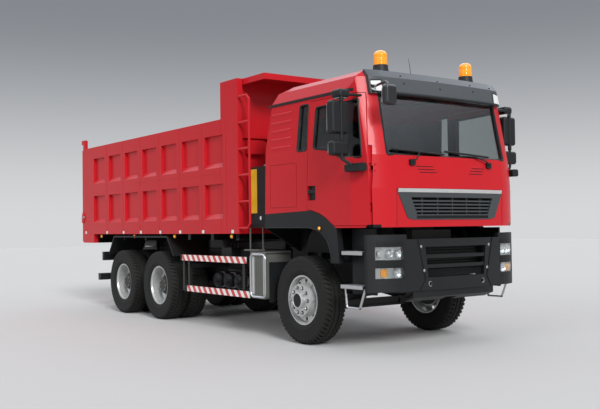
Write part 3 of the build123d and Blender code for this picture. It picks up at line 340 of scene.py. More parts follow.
def block(x, y, z):
    """A box between two values on each axis."""
    points = np.array([(i, j, k) for i in sorted(x) for j in sorted(y) for k in sorted(z)], float)
    faces = np.array([[0, 1, 3, 2], [4, 6, 7, 5], [0, 4, 5, 1], [2, 3, 7, 6], [0, 2, 6, 4], [1, 5, 7, 3]])
    return points, [faces]


def prism(outline, axis, low, high):
    """A flat outline carried along an axis: two copies of the points, side quads and two end faces."""
    outline = np.asarray(outline, float)
    count = len(outline)
    after = np.roll(outline, -1, 0)
    area = np.sum(outline[:, 0] * after[:, 1] - after[:, 0] * outline[:, 1])
    if (area < 0) != (axis == 1):
        outline = outline[::-1]
    points = np.stack([np.insert(outline, axis, end, 1) for end in (low, high)])
    side = grid_faces(2, count, wrap_columns=True)[:, ::-1]
    ends = np.array([np.arange(count)[::-1], np.arange(count) + count])
    return points.reshape(-1, 3), [side, ends]


def sweep(path, radius, sides, squash=1.0, up=(0, 0, 1), closed=False):
    """A tube along a path: at each point a circle across the mean direction, squashed along up.

    The direction is the sum of both neighbouring steps. A closed tube joins its ends, an open one has lids.
    """
    path = np.asarray(path, float)
    if closed:
        along = np.roll(path, -1, 0) - np.roll(path, 1, 0)
    else:
        step = np.diff(path, axis=0)
        step /= np.linalg.norm(step, axis=1)[:, None]
        along = np.vstack([step[:1], step[:-1] + step[1:], step[-1:]])
    along /= np.linalg.norm(along, axis=1)[:, None]
    across = np.cross(along, np.asarray(up, float))
    weak = np.linalg.norm(across, axis=1) < 1e-3
    across[weak] = np.cross(along[weak], (1.0, 0.0, 0.02))
    across /= np.linalg.norm(across, axis=1)[:, None]
    rise = np.cross(across, along)
    turn = np.linspace(0, 2 * np.pi, sides, endpoint=False)[None, :, None]
    ring = np.cos(turn) * across[:, None] + np.sin(turn) * rise[:, None] * squash
    points = path[:, None] + np.asarray(radius, float).reshape(-1, 1, 1) * ring
    last = (len(path) - 1) * sides
    lids = [] if closed else [np.array([np.arange(sides), (np.arange(sides) + last)[::-1]])]
    return points.reshape(-1, 3), [grid_faces(len(path), sides, closed, True), *lids]


def turned(profile, centre, sides=48, axis=1):
    """A closed outline of (radius, height) turned about an axis through centre; heights are along it."""
    profile = np.asarray(profile, float)
    turn = np.linspace(0, 2 * np.pi, sides, endpoint=False)[:, None]
    points = np.zeros((sides, len(profile), 3))
    a, b = [(1, 2), (2, 0), (0, 1)][axis]
    points[..., a] = np.cos(turn) * profile[:, 0]
    points[..., b] = np.sin(turn) * profile[:, 0]
    points[..., axis] = profile[:, 1]
    return points.reshape(-1, 3) + np.asarray(centre), [grid_faces(sides, len(profile), True, True)]


def knob(outline, centre, sides=24, axis=1, top=None):
    """A solid turned part: its outline starts and ends at the axis, where it ends at the height top."""
    end = outline[-1][1] if top is None else top
    return turned([(HAIR, outline[0][1]), *outline, (HAIR, end)], centre, sides, axis)


def many(moved, faces):
    """One part from the points of each copy, with the faces of all."""
    start = np.arange(len(moved))[:, None, None] * moved.shape[1]
    return moved.reshape(-1, 3), [(f[None] + start).reshape(-1, f.shape[1]) for f in faces]


def copies(part, shifts):
    """The same part at each shift."""
    points, faces = part
    return many(points[None] + np.asarray(shifts, float)[:, None], faces)


def around(part, centre, count):
    """The same part turned count times about the line across the truck through centre."""
    points, faces = part
    turn = 2 * np.pi * np.arange(count)[:, None] / count
    x, y, z = (points - centre).T
    moved = [z * np.sin(turn) + x * np.cos(turn), y + 0 * turn, z * np.cos(turn) - x * np.sin(turn)]
    return many(np.stack(moved, -1) + centre, faces)


def on_side(part, sign):
    """The part as made for the left, or for the right its mirror image with the faces turned over."""
    points, faces = part
    return part if sign > 0 else (points * (1, -1, 1), [f[:, ::-1] for f in faces])


def eased(points, reach, steps=5, closed=False):
    """A path whose corners are eased.

    Each corner is a quadratic curve from reach before it to reach after it:
    (1 - t)^2 start + 2 t (1 - t) corner + t^2 end.
    """
    points = np.asarray(points, float)
    before = np.roll(points, 1, 0) if closed else points[:-2]
    corner = points if closed else points[1:-1]
    after = np.roll(points, -1, 0) if closed else points[2:]
    start = corner + (before - corner) / np.linalg.norm(before - corner, axis=1)[:, None] * reach
    end = corner + (after - corner) / np.linalg.norm(after - corner, axis=1)[:, None] * reach
    t = np.linspace(0, 1, steps)[None, :, None]
    curve = (1 - t) ** 2 * start[:, None] + 2 * t * (1 - t) * corner[:, None] + t ** 2 * end[:, None]
    curve = curve.reshape(-1, points.shape[1])
    return curve if closed else np.vstack([points[:1], curve, points[-1:]])


def plate(low, high, radius, axis, span):
    """A plate with round corners: a rectangle between two corners, carried along an axis over a span."""
    (a, b), (c, d) = np.add(low, radius), np.subtract(high, radius)
    turn = np.linspace(0, np.pi / 2, 6) + np.arange(4)[:, None] * np.pi / 2
    x = np.array([c, a, a, c])[:, None] + radius * np.cos(turn)
    y = np.array([d, d, b, b])[:, None] + radius * np.sin(turn)
    return prism(np.stack([x.ravel(), y.ravel()], 1), axis, *span)


def skin(*names):
    """A search tree over the faces of CAD nodes, for laying pieces on their surface."""
    points, faces = [], []
    for name in names:
        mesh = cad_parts[name].data
        start = len(points)
        places = np.empty(len(mesh.vertices) * 3, np.float32)
        mesh.vertices.foreach_get("co", places)
        points.extend(((places.reshape(-1, 3) - (FRONT_X, 0, 0)) * 1000).tolist())
        faces.extend([start + i for i in p.vertices] for p in mesh.polygons)
    return BVHTree.FromPolygons(points, faces)


def landed(tree, start, aim=(-1, 0, 0)):
    """Where each line from start along aim first meets the tree's faces.

    A line that misses, or lands over 150 mm away from the others' middle depth, takes the depth of its
    neighbours in the row, joined straight.
    """
    found = [tree.ray_cast(Vector(p), Vector(aim))[3] for p in start]
    depth = np.array([np.nan if run is None else run for run in found])
    good = np.abs(depth - np.nanmedian(depth)) < 150
    order = np.arange(len(depth))
    depth = np.interp(order, order[good], depth[good])
    return np.asarray(start) + depth[:, None] * np.asarray(aim, float)


def laid(tree, corners, thick, rows=2, columns=12, sink=1.0, aim=(-1, 0, 0)):
    """A thin pad on a surface.

    A grid between four corners is cast along aim; the front stands thick out of where it lands, the back
    lies sink in it, and quads join the rims of both.
    """
    a, b, c, d = np.asarray(corners, float)
    u = np.linspace(0, 1, columns)[None, :, None]
    v = np.linspace(0, 1, rows)[:, None, None]
    start = ((1 - v) * ((1 - u) * a + u * b) + v * ((1 - u) * d + u * c)).reshape(-1, 3)
    foot = landed(tree, start, aim)
    aim = np.asarray(aim, float)
    faces = grid_faces(rows, columns)
    grid = np.arange(rows * columns).reshape(rows, columns)
    rim = np.concatenate([grid[0, :-1], grid[:-1, -1], grid[-1, :0:-1], grid[:0:-1, 0]])
    after = np.roll(rim, -1)
    side = np.stack([rim, after, after + grid.size, rim + grid.size], 1)
    return np.vstack([foot - aim * thick, foot + aim * sink]), [faces, faces[:, ::-1] + grid.size, side]


def pad(tree, corners, thick, rows=2, columns=12, sink=1.0):
    """A thin pad on the truck's front between four corners given as (y, z)."""
    return laid(tree, [(AHEAD, y, z) for y, z in corners], thick, rows, columns, sink)


def rect(y, z):
    """The corners of a rectangle between two values of y and two of z."""
    return [(y[0], z[0]), (y[1], z[0]), (y[1], z[1]), (y[0], z[1])]


def front_at(tree, y, z):
    """The point of the truck's front that lies at y and z."""
    return landed(tree, [(AHEAD, y, z)])[0]


def outward(part):
    """A closed part with its faces turned out, so that the volume summed under them comes out positive."""
    points, faces = part
    centred = points - points.mean(0)
    volume = 0.0
    for group in faces:
        corner = centred[group]
        area = np.cross(corner, np.roll(corner, -1, 1)).sum(1)
        volume += (area * corner.mean(1)).sum()
    return part if volume > 0 else (points, [group[:, ::-1] for group in faces])


def piece(name, parts, body, finish, bevel=0.0, segments=2, angle=32):
    """Joins parts into one object that rides on a body, with its finish and rounded edges."""
    points, faces, start = [], [], 0
    for part_points, part_faces in map(outward, parts):
        points.append(part_points)
        faces.extend(f + start for f in part_faces)
        start += len(part_points)
    places = np.concatenate(points) / 1000 + (FRONT_X, 0, 0)
    corners = np.concatenate([f.ravel() for f in faces])
    sizes = np.concatenate([np.full(len(f), f.shape[1]) for f in faces])
    mesh = bpy.data.meshes.new(name)
    mesh.vertices.add(start)
    mesh.vertices.foreach_set("co", places.astype(np.float32).ravel())
    mesh.loops.add(len(corners))
    mesh.loops.foreach_set("vertex_index", corners.astype(np.int32))
    mesh.polygons.add(len(sizes))
    mesh.polygons.foreach_set("loop_start", (np.cumsum(sizes) - sizes).astype(np.int32))
    mesh.polygons.foreach_set("loop_total", sizes.astype(np.int32))
    mesh.update(calc_edges=True)
    mesh.validate()
    mesh.polygons.foreach_set("use_smooth", np.ones(len(mesh.polygons), bool))
    mesh.set_sharp_from_angle(angle=math.radians(angle))
    mesh.materials.append(MATERIALS[finish])
    obj = bpy.data.objects.new(name, mesh)
    bpy.context.scene.collection.objects.link(obj)
    if bevel:
        edge = obj.modifiers.new("rounded_edges", "BEVEL")
        edge.width = bevel / 1000
        edge.segments = segments
        edge.limit_method = "ANGLE"
        edge.angle_limit = math.radians(30)
        edge.harden_normals = True
    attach(obj, body)
    return obj


def pair(name, parts, body, finish, *edges, **more):
    """A piece on each side of the truck, from parts made for the left; the body may name its side."""
    for side, sign in SIDES.items():
        sided = [on_side(part, sign) for part in parts]
        piece(f"{name}_{side}", sided, body.format(side=side), finish, *edges, **more)


# Wheels

# Each axle's distance behind the first and the middles of its tyres
WHEELS = (("front", 0, (1032,)), ("mid", -3825, (1075, 733)), ("rear", -5175, (1075, 733)))
# Half a tyre's outline, from the middle of its tread to the bead, as (across, radius)
TYRE_HALF = (
    (5, 540), (26, 540), (28, 527), (42, 527), (44, 539.5), (68, 539), (70, 539), (112, 536.5), (134, 528),
    (143.5, 508), (146.2, 486), (146.5, 484), (146.8, 474), (144, 470), (146.2, 440), (146.8, 405),
    (144, 372), (145.2, 368), (143.5, 362), (136.5, 335), (129, 318), (119, 308), (111, 302), (106, 296.5),
)
LUG_DEPTH = 17
GROOVE_SWING = 6
# How far a lug leads, in radians for each millimetre across
LUG_SLANT = 0.0009


def wheel_body(name, side):
    """The body of a single front wheel or of a twin pair."""
    return f"{name}_wheel_{side}" if name == "front" else f"{name}_wheels_{side}"


def tyre_surface(centre, lugs):
    """One treaded tyre as a grid of angle by profile.

    Radius = the profile's radius less the groove depth where the angle is inside a gap between lugs and the
    point lies on the shoulder; a running groove swings from side to side by a triangle wave of the angle.
    """
    half = np.array(TYRE_HALF)
    y, radius = np.vstack([half[::-1] * (-1, 1), half]).T
    swing = np.where(radius > 500, np.interp(abs(y), (70, 112, 134), (1, 0.4, 0)), 0)
    shoulder = (abs(y) >= 70) & (radius > 485)
    within = np.array([0.0, 0.29, 0.58, 0.62, 0.79, 0.96])
    gap = np.tile([0.0, 0.0, 0.0, 1.0, 1.0, 1.0], lugs)[:, None]
    phase = (np.arange(lugs)[:, None] + within).reshape(-1, 1)
    triangle = 1 - 4 * np.abs((phase % 1) - 0.5)
    r = radius - LUG_DEPTH * gap * shoulder * np.clip((radius - 475) / 50, 0, 1)
    turn = 2 * np.pi * phase / lugs + LUG_SLANT * y
    points = np.stack([r * np.sin(turn), y + GROOVE_SWING * triangle * swing, r * np.cos(turn)], -1)
    return points.reshape(-1, 3) + centre, [grid_faces(len(phase), len(y), True, True)]


class TRUCK_OT_tyres(bpy.types.Operator):
    """Puts a treaded tyre in place of each plain one"""

    bl_idname = "truck.tyres"
    bl_label = "Tyres"

    def execute(self, context):
        for name, x, tracks in WHEELS:
            for side, sign in SIDES.items():
                body = wheel_body(name, side)
                node = body.replace("wheel", "tyre")
                parts = [tyre_surface((x, sign * y, AXLE_Z), context.scene.truck.lugs) for y in tracks]
                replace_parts(piece(f"treaded_{node}", parts, body, "rubber", angle=24), node)
        return {"FINISHED"}


class TRUCK_OT_wheel_fittings(bpy.types.Operator):
    """Puts the nuts, hub ends and valves on the wheels"""

    bl_idname = "truck.wheel_fittings"
    bl_label = "Wheel fittings"

    def execute(self, context):
        nut = [(17.2, 0), (17.2, 21), (14.5, 26)]
        stud = [(10.5, 20), (10.5, 36), (8.5, 39)]
        washer = [(12, 0), (23.5, 0), (23.5, 3), (21, 6), (12, 6)]
        cup = [(84, 0), (99, 0), (99, 8), (94, 12), (86, 12), (84, 8)]
        flange = [(112, -70), (154, -70), (154, -56), (120, 0), (116, 6), (HAIR, 6), (HAIR, 0), (112, 0)]
        for name, x, _tracks in WHEELS:
            front = name == "front"
            face, circle, end, rim = (1188, 157, 1224, 1100) if front else (932, 172, 1120, 945)
            body = wheel_body(name, "{side}")
            centre = np.array((x, 0, AXLE_Z))
            seat = centre + (circle, face, 0)
            hub = centre + (0, end, 0)
            rings = [around(knob(outline, seat, sides), centre, 10)
                     for outline, sides in ((nut, 6), (stud, 12))]
            pair(f"{name}_washers", [around(turned(washer, seat, 20), centre, 10)], body, "black")
            pair(f"{name}_nuts", rings, body, "zinc", angle=25)
            if front:
                pair("hub_ring", [turned(cup, hub)], body, "silver")
                pair("hub_core", [knob([(83, 0), (83, 2), (40, 6)], hub, 48, top=7)], body, "black")
            else:
                bolt = knob([(10.5, 0), (10.5, 9)], hub + (94, 6, 0), 6)
                pair(f"{name}_hub_end", [turned(flange, hub)], body, "iron")
                pair(f"{name}_hub_bolts", [around(bolt, centre, 8)], body, "zinc", angle=25)
            valve = centre + [(210, rim, 0), (214, rim + 34, 0), (232, rim + 62, 0)]
            pair(f"{name}_valve", [sweep(eased(valve, 10), 5, 10)], body, "zinc")
        return {"FINISHED"}


# Cab

# Outlines of the windows, as (x, z) in the side and (y, z) in the front
DOOR_PANE = [(384, 2363), (673, 2327), (893, 2218), (1200, 2204), (1130, 2861), (415, 2842)]
REAR_PANE = [(48, 2361), (236, 2361), (258, 2900), (92, 2900)]
SCREEN = [(-955, 2225), (955, 2225), (945, 2925), (-945, 2925)]
# A seal's half width, how much deeper than wide it is, and how far it stands proud and beyond the pane
SEAL_HALF, SEAL_SQUASH, SEAL_PROUD, SEAL_OUT = 18, 1.7, 8, 8
PANE_CORNER = 34
REPEATER = (486, 1235, 1415)


def seal(tree, outline, aim):
    """A rubber seal along a window's outline: a closed tube, deeper than wide, standing a little proud."""
    outline = np.asarray(outline, float)
    away = outline - outline.mean(0)
    grown = outline + away / np.linalg.norm(away, axis=1)[:, None] * SEAL_OUT
    axis = 1 if aim[1] else 0
    start = np.insert(eased(grown, PANE_CORNER, 6, True), axis, -aim[axis] * (AHEAD, BESIDE)[axis], 1)
    aim = np.asarray(aim, float)
    path = landed(tree, start, aim) + aim * (SEAL_HALF * SEAL_SQUASH - SEAL_PROUD)
    return sweep(path, SEAL_HALF, 10, SEAL_SQUASH, -aim, closed=True)


def nose_x(y, z, inset=0.0):
    """How far the cab's front reaches: an arc with a rise of 38 mm over 1800 mm, leaning back with height."""
    lean = np.interp(z, (1380, 1853, 2225, 2925), (-8, 0, -32, -178))
    return 1460 - np.asarray(y, float) ** 2 / 21352 + lean - inset


class TRUCK_OT_cab_seals(bpy.types.Operator):
    """Lays the rubber seals round the windows, the rain gutter, the door handles and the arches' linings"""

    bl_idname = "truck.cab_seals"
    bl_label = "Cab seals"

    def execute(self, context):
        shell = skin("cab_shell", "cab_front", "cab_roof")
        for side, sign in SIDES.items():
            aim = (0, -sign, 0)
            y = sign * BESIDE
            gutter = [(-585, y, 2962), (1075, y, 2962), (1075, y, 2994), (-585, y, 2994)]
            piece(f"door_seal_{side}", [seal(skin(f"door_{side}"), DOOR_PANE, aim)], f"door_{side}", "black")
            piece(f"rear_seal_{side}", [seal(shell, REAR_PANE, aim)], "cab", "black")
            piece(f"gutter_{side}", [laid(shell, gutter, 9, 2, 30, aim=aim)], "cab", "black", 1)
        piece("screen_seal", [seal(shell, SCREEN, (-1, 0, 0))], "cab", "black")
        handle = [plate((253, 1751), (401, 1919), 12, 1, (1203.2, 1206)),
                  plate((244, 1834), (410, 1874), 14, 1, (1211, 1234))]
        pair("handle", handle, "door_{side}", "black", 3)
        pair("lock", [knob([(12, 0), (12, 3)], (385, 1206, 1785), 20, top=4)], "door_{side}", "zinc")
        pair("repeater_base", [knob([(27, -4), (27, 6), (22, 9)], REPEATER, 28)], "cab", "black")
        cap = knob([(21, 5), (21, 14), (16, 24), (8, 29)], REPEATER, 28, top=30)
        pair("repeater", [cap], "cab", "amber")
        lip = eased([(832, 1236, 1012), (822, 1236, 1150), (800, 1236, 1300), (790, 1236, 1405)], 20)
        under = eased([(700, 1236, 1012), (680, 1236, 1150), (610, 1236, 1290), (470, 1236, 1385),
                       (280, 1236, 1425), (-674, 1236, 1430)], 45)
        pair("arch_lip", [sweep(path, 7, 10, 1.0, (0, 1, 0)) for path in (lip, under)], "cab", "black")
        arch = eased([(-660, 1100), (-560, 1395), (560, 1395), (690, 1100)], 120)
        shield = [prism(arch, 1, 600, 606), prism(arch * (0.985, 1), 1, 606, 612)]
        pair("arch_shield", shield, "cab", "black", 2)
        return {"FINISHED"}


# Each wiper's pivot and its blade's inner and outer end, across the screen
WIPERS = ((-632, -140, -900), (632, 640, -110))
# The blade's height at its outer and inner end, and the pivot's
BLADE_ENDS_Z = (2286, 2248)
PIVOT_Z = 2150


class TRUCK_OT_wipers(bpy.types.Operator):
    """Makes both wipers with their arms, blades and pivots"""

    bl_idname = "truck.wipers"
    bl_label = "Wipers"

    def execute(self, context):
        parts = []
        for pivot, inner, outer in WIPERS:
            y = np.linspace(outer, inner, 14)
            z = np.linspace(*BLADE_ENDS_Z, 14)
            foot = nose_x(pivot, PIVOT_Z)
            middle = (outer + inner) / 2
            arm = [(foot + 34, pivot, PIVOT_Z),
                   (nose_x(pivot, 2190) + 42, pivot + np.sign(middle - pivot) * 60, 2196),
                   (nose_x(middle, 2268) + 26, middle, 2272)]
            parts += [sweep(np.stack([nose_x(y, z) + 6, y, z], 1), 9, 8, 2.2, (1, 0, 0)),
                      sweep(np.stack([nose_x(y, z) + 22, y, z + 3], 1), 10, 8),
                      sweep(eased(arm, 40), 9, 10, 0.7, (1, 0, 0)),
                      plate((pivot - 38, 2112), (pivot + 38, 2182), 14, 0, (foot - 4, foot + 30))]
        piece("wipers", parts, "cab", "black")
        return {"FINISHED"}


# The silver strip's lower and upper edge
STRIP_Z = (1808, 1850)
# Each group of vents: its top slot's two ends and how far each next slot shifts
VENTS = ((-578, -312, 26), (331, 563, -26))
VENT_TOP_Z, VENT_STEP = 2109, 34
# The grille's mesh: its spacing, how deep it lies, and its wires' half thickness
MESH_STEP, MESH_INSET, MESH_WIRE = 14, 44, 2.2
# The mesh's bottom and top
MESH_Z = (1562, 1750)


class TRUCK_OT_cab_front(bpy.types.Operator):
    """Dresses the cab's front: silver strip, vents, mesh behind the blades and below them, tape and grips"""

    bl_idname = "truck.cab_front"
    bl_label = "Cab front"

    def execute(self, context):
        front = skin("cab_front", "cab_shell", "front_grille")
        piece("silver_strip", [pad(front, rect((-856, 856), STRIP_Z), 7, 3, 44)], "cab", "silver", 2)
        slot_shades, lips = [], []
        for start, end, slant in VENTS:
            for k in range(3):
                z = VENT_TOP_Z - VENT_STEP * k
                a, b = start + k * slant, end + k * slant
                # Each slot is painted shade: a black pad 0.8 mm thick under the lip, where the louvre's
                # opening lies in shadow
                slot_shades.append(pad(front, [(a, z - 9), (b, z - 9), (b - 6, z), (a + 6, z)], 0.8, 2, 8))
                lip = [(a + 4, z - 1), (b - 4, z - 1), (b - 8, z + 9), (a + 8, z + 9)]
                lips.append(pad(front, lip, 7, 2, 8))
        # Painted shade in the louvres' openings
        piece("vent_slots", slot_shades, "cab", "black")
        piece("vent_lips", lips, "cab", "red", 2)
        wires = []
        for z in range(MESH_Z[0] + 12, MESH_Z[1] + 2, MESH_STEP):
            half = 596 + (z - 1560) * 0.42
            y = np.linspace(-half, half, 24)
            wires.append(sweep(np.stack([nose_x(y, z, MESH_INSET), y, np.full(24, z)], 1), MESH_WIRE, 4))
        for y in range(-644, 645, MESH_STEP):
            low = max(MESH_Z[0], MESH_Z[0] + (abs(y) - 592) * 2.3)
            ends = [(nose_x(y, z, MESH_INSET), y, z) for z in (low, MESH_Z[1])]
            wires.append(sweep(ends, MESH_WIRE, 4))
        piece("grille_mesh", wires, "cab", "black")
        ribs = [pad(front, rect((y, y + 5), (1512, 1545)), 5, 2, 2) for y in range(-588, 589, 13)]
        piece("lower_ribs", ribs, "cab", "black")
        joints = [pad(front, [(sign * 868, 1850), (sign * 868, 1430), (sign * 872, 1430), (sign * 872, 1850)],
                      1.5, 2, 20) for sign in (-1, 1)]
        piece("panel_joints", joints, "cab", "black")
        shell = skin("cab_front", "cab_shell")
        tape = pad(shell, rect((1150, 1212), (1742, 1932)), 1.5, 12, 8)
        piece("corner_tape", [tape], "cab", "corner_tape")
        grips = [pad(shell, rect((sign * 1128, sign * 1226), (1990, 2022)), 20, 4, 12) for sign in (-1, 1)]
        piece("corner_grips", grips, "cab", "cab_red", 6, 3)
        return {"FINISHED"}


# One visor lamp and its surround, as (y, z), and the visor's screws
VISOR_LAMP = np.array([(925, 2946), (1062, 2952), (1056, 3062), (940, 3070)])
SURROUND = np.array([(905, 2930), (1066, 2934), (1062, 3084), (920, 3090)])
SCREWS = ((-620, 3150), (-600, 3060), (-60, 3130), (-40, 3040), (520, 3140), (540, 3060), (900, 3140))
BEACONS = ((1008, -713, 3200), (1008, 713, 3200))
# Where the horns and the aerial stand on the roof, as (x, y)
HORNS = ((940, -330), (940, 60))
AERIAL = (960, -190)


class TRUCK_OT_visor(bpy.types.Operator):
    """Dresses the sun visor, the beacons, the roof and the mirrors"""

    bl_idname = "truck.visor"
    bl_label = "Visor and mirrors"

    def execute(self, context):
        visor = skin("sun_visor")
        lamps = [pad(visor, VISOR_LAMP * (sign, 1), 9, 8, 10) for sign in (-1, 1)]
        frames = [pad(visor, SURROUND * (sign, 1), 0.8, 8, 12) for sign in (-1, 1)]
        piece("visor_lamps", lamps, "cab", "white", 2)
        piece("visor_lamp_frames", frames, "cab", "black", 1)
        # A black strip along the visor's lower edge: partly the edge's own dark colour, partly painted shade
        # under the visor
        piece("visor_rail", [pad(visor, rect((-1000, 1000), (2926, 2950)), 14, 2, 50)], "cab", "black", 3)
        screws = [knob([(12, -2), (12, 2), (8, 5)], front_at(visor, y, z), 16, 0) for y, z in SCREWS]
        piece("visor_screws", screws, "cab", "black")
        base = [(79, -20), (98, -20), (98, 30), (90, 60), (86, 104), (83.5, 104), (83.5, 0)]
        rings = [turned([(77.5, z), (80.5, z + 4), (80.5, z + 14), (77.5, z + 18)], beacon, 48, 2)
                 for beacon in BEACONS for z in range(118, 215, 24)]
        piece("beacon_bases", [turned(base, beacon, 48, 2) for beacon in BEACONS], "cab", "black")
        piece("beacon_rings", rings, "cab", "amber")
        roof = skin("cab_roof", "sun_visor")
        *horns, foot = (landed(roof, [(x, y, ABOVE)], (0, 0, -1))[0] for x, y in (*HORNS, AERIAL))
        bell = [(30, 0), (30, 20), (62, 26), (60, 40), (40, 52)]
        fittings = [knob(bell, horn - (0, 0, 4), 28, 2, top=56) for horn in horns]
        fittings.append(knob([(20, -3), (20, 12), (10, 26)], foot, 24, 2, top=28))
        whip = foot + [(0, 0, 20), (-10, 6, 100), (-30, 12, 190), (-55, 18, 260)]
        fittings.append(sweep(whip, [4, 3.5, 3, 2], 8))
        piece("roof_fittings", fittings, "cab", "black")
        glasses = [plate((1313, 2478), (1514, 2812), 30, 0, (1001, 1008)),
                   plate((1313, 2233), (1514, 2364), 26, 0, (1016, 1024)),
                   plate((1000, 1308), (1130, 1422), 26, 2, (2856, 2863))]
        clamps = [turned([(15, -30), (24, -30), (24, 30), (15, 30)], (1120, 1400, z), 24, 2)
                  for z in (2424, 2846)]
        corner = [plate((-1176, 2756), (-1044, 2944), 26, 0, (1541, 1548))]
        pair("mirror_glass", glasses, "door_{side}", "mirror", 1)
        pair("mirror_clamps", clamps, "door_{side}", "black", 2)
        piece("front_mirror_glass", corner, "cab", "mirror", 1)
        return {"FINISHED"}


# Lamps and bumper

LAMP_ROW, FOG_ROW = 1127, 909
# Each bowl's middle, how far aside its depth is taken, its height and its radius
BOWLS = (
    (858, 30, LAMP_ROW, 46), (962, 30, LAMP_ROW, 46), (1066, 30, LAMP_ROW, 40), (872, 28, FOG_ROW, 50),
)


def bowl(y, z, radius, deep, face):
    """A lamp bowl with a wall and a rim. Its inside is the parabola face - deep (1 - (r / radius)^2)."""
    r = np.linspace(HAIR, radius, 9)
    inner = face - deep * (1 - (r / radius) ** 2)
    outline = np.vstack([np.stack([r, inner], 1), [(radius + 4, face), (radius + 4, face - 8)],
                         np.stack([r[::-1] + 3, inner[::-1] - 5], 1), [(HAIR, face - deep - 5)]])
    return turned(outline, (0, y, z), 36, 0)


class TRUCK_OT_lamps(bpy.types.Operator):
    """Puts glazed headlamps, indicators and fog lamps in place of the plain lamp units"""

    bl_idname = "truck.lamps"
    bl_label = "Front lamps"

    def execute(self, context):
        tree = skin("headlamps")
        backs, bowls, covers, bulbs, ambers = [], [], [], [], []
        for sign in (-1, 1):
            for heights in ((1056, 1199), (851, 967)):
                corners = rect((sign * 801, sign * 1129), heights)
                backs.append(pad(tree, corners, -38, 2, 16, 44))
                covers.append(pad(tree, corners, -1, 2, 16, 4))
            for y, aside, z, radius in BOWLS:
                face = front_at(tree, sign * (y + aside), z)[0] - 12
                bowls.append(bowl(sign * y, z, radius, 24, face))
                bulbs.append(knob([(13, -20), (13, -6), (9, 0)], (face - 6, sign * y, z), 20, 0, top=1))
            face = front_at(tree, sign * 1060, FOG_ROW)[0] - 4
            ambers.append(knob([(52, -30), (52, -10), (40, -2)], (face, sign * 1012, FOG_ROW), 40, 0, top=1))
        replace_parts(piece("lamp_backs", backs, "chassis", "silver"), "headlamps")
        piece("lamp_bowls", bowls, "chassis", "mirror")
        piece("lamp_bulbs", bulbs, "chassis", "white")
        piece("indicators", ambers, "chassis", "amber")
        piece("lamp_covers", covers, "chassis", "lens_glass")
        return {"FINISHED"}


# Where the bumper's bolts and tow eyes sit, as (y, z)
BUMPER_BOLTS = ((560, 1196), (520, 925))
TOW_EYE = (430, 772)
# The bumper's mesh: its spacing and its wires' half thickness
BUMPER_STEP, BUMPER_WIRE = 15, 2.5
# Each step's lower and upper edge and where it starts
STEPS = ((1112, 1153, 874), (732, 773, 850))


def bumper_mesh_x(y):
    """How far the bumper's mesh reaches: a shallow parabola across."""
    return 1448 - y ** 2 / 14000


class TRUCK_OT_bumper_trim(bpy.types.Operator):
    """Adds the bumper's ribs, mesh and bolts, the cooler behind it and the alloy of the steps"""

    bl_idname = "truck.bumper_trim"
    bl_label = "Bumper trim"

    def execute(self, context):
        tree = skin("bumper")
        ribs, bolts, wires = [], [], []
        for sign in (-1, 1):
            for z in (*range(978, 1050, 11), *range(1208, 1262, 11)):
                ribs.append(pad(tree, rect((sign * 792, sign * 1118), (z, z + 5)), 4))
            for y, z in BUMPER_BOLTS:
                bolts.append(knob([(16, -4), (16, 2), (11, 4.5)], front_at(tree, sign * y, z), 20, 0))
            y, z = TOW_EYE
            eye = (front_at(tree, sign * y, z + 40)[0], sign * y, z)
            bolts.append(turned([(24, -20), (31, -20), (31, 0), (27, 1.5), (24, 0)], eye, 28, 0))
        for z in range(856, 946, BUMPER_STEP):
            y = np.linspace(-455, 455, 20)
            wires.append(sweep(np.stack([bumper_mesh_x(y), y, np.full(20, z)], 1), BUMPER_WIRE, 4))
        for y in range(-450, 451, BUMPER_STEP):
            wires.append(sweep([(bumper_mesh_x(y), y, z) for z in (848, 946)], BUMPER_WIRE, 4))
        piece("bumper_ribs", ribs, "chassis", "black")
        piece("bumper_bolts", bolts, "chassis", "zinc", angle=40)
        piece("bumper_mesh", wires, "chassis", "black")
        cooler = [block((1352, 1360), (-458, 458), (850, 1190)),
                  copies(block((1360, 1372), (-455, -451), (854, 1186)), [(0, 13 * k, 0) for k in range(70)]),
                  copies(block((1360, 1376), (-455, 455), (856, 862)), [(0, 0, 30 * k) for k in range(11)])]
        piece("cooler_core", cooler, "chassis", "chassis")
        treads, grips = [], []
        for low, high, start in STEPS:
            treads += [block((start, 1233), (1216, 1229), (low, high)),
                       block((start, 1233), (1044, 1218), (high - 3, high + 1))]
            places = [(x, y, high + 1) for y in range(1068, 1177, 36) for x in range(start + 18, 1222, 24)]
            grips.append(copies(knob([(9, -1), (9, 1), (4, 4)], (0, 0, 0), 8, 2), places))
        hoop = eased([(880, 1180, 737), (905, 1180, 515), (1130, 1180, 515), (1225, 1180, 737)], 22)
        pair("step_treads", treads, "chassis", "alloy", 1.5)
        pair("step_grips", grips, "chassis", "alloy")
        pair("step_hoop", [sweep(hoop, 13.5, 14)], "chassis", "alloy")
        return {"FINISHED"}


# Body and chassis

REFLECTOR_XS = (-6767, -5778, -5069, -4386, -3676, -3008, -2300, -1482)
MARKER_XS = (-6101, -4700, -3247, -1560)
LATCH_PIN = (-6840, 1248, 1668)
# Each rear lens with its finish, the span of y that it covers and its face
TAIL_LENSES = (("white", "white", 774, 872, -6212), ("red", "red_lens", 880, 1010, -6213),
               ("amber", "amber", 1018, 1136, -6213))


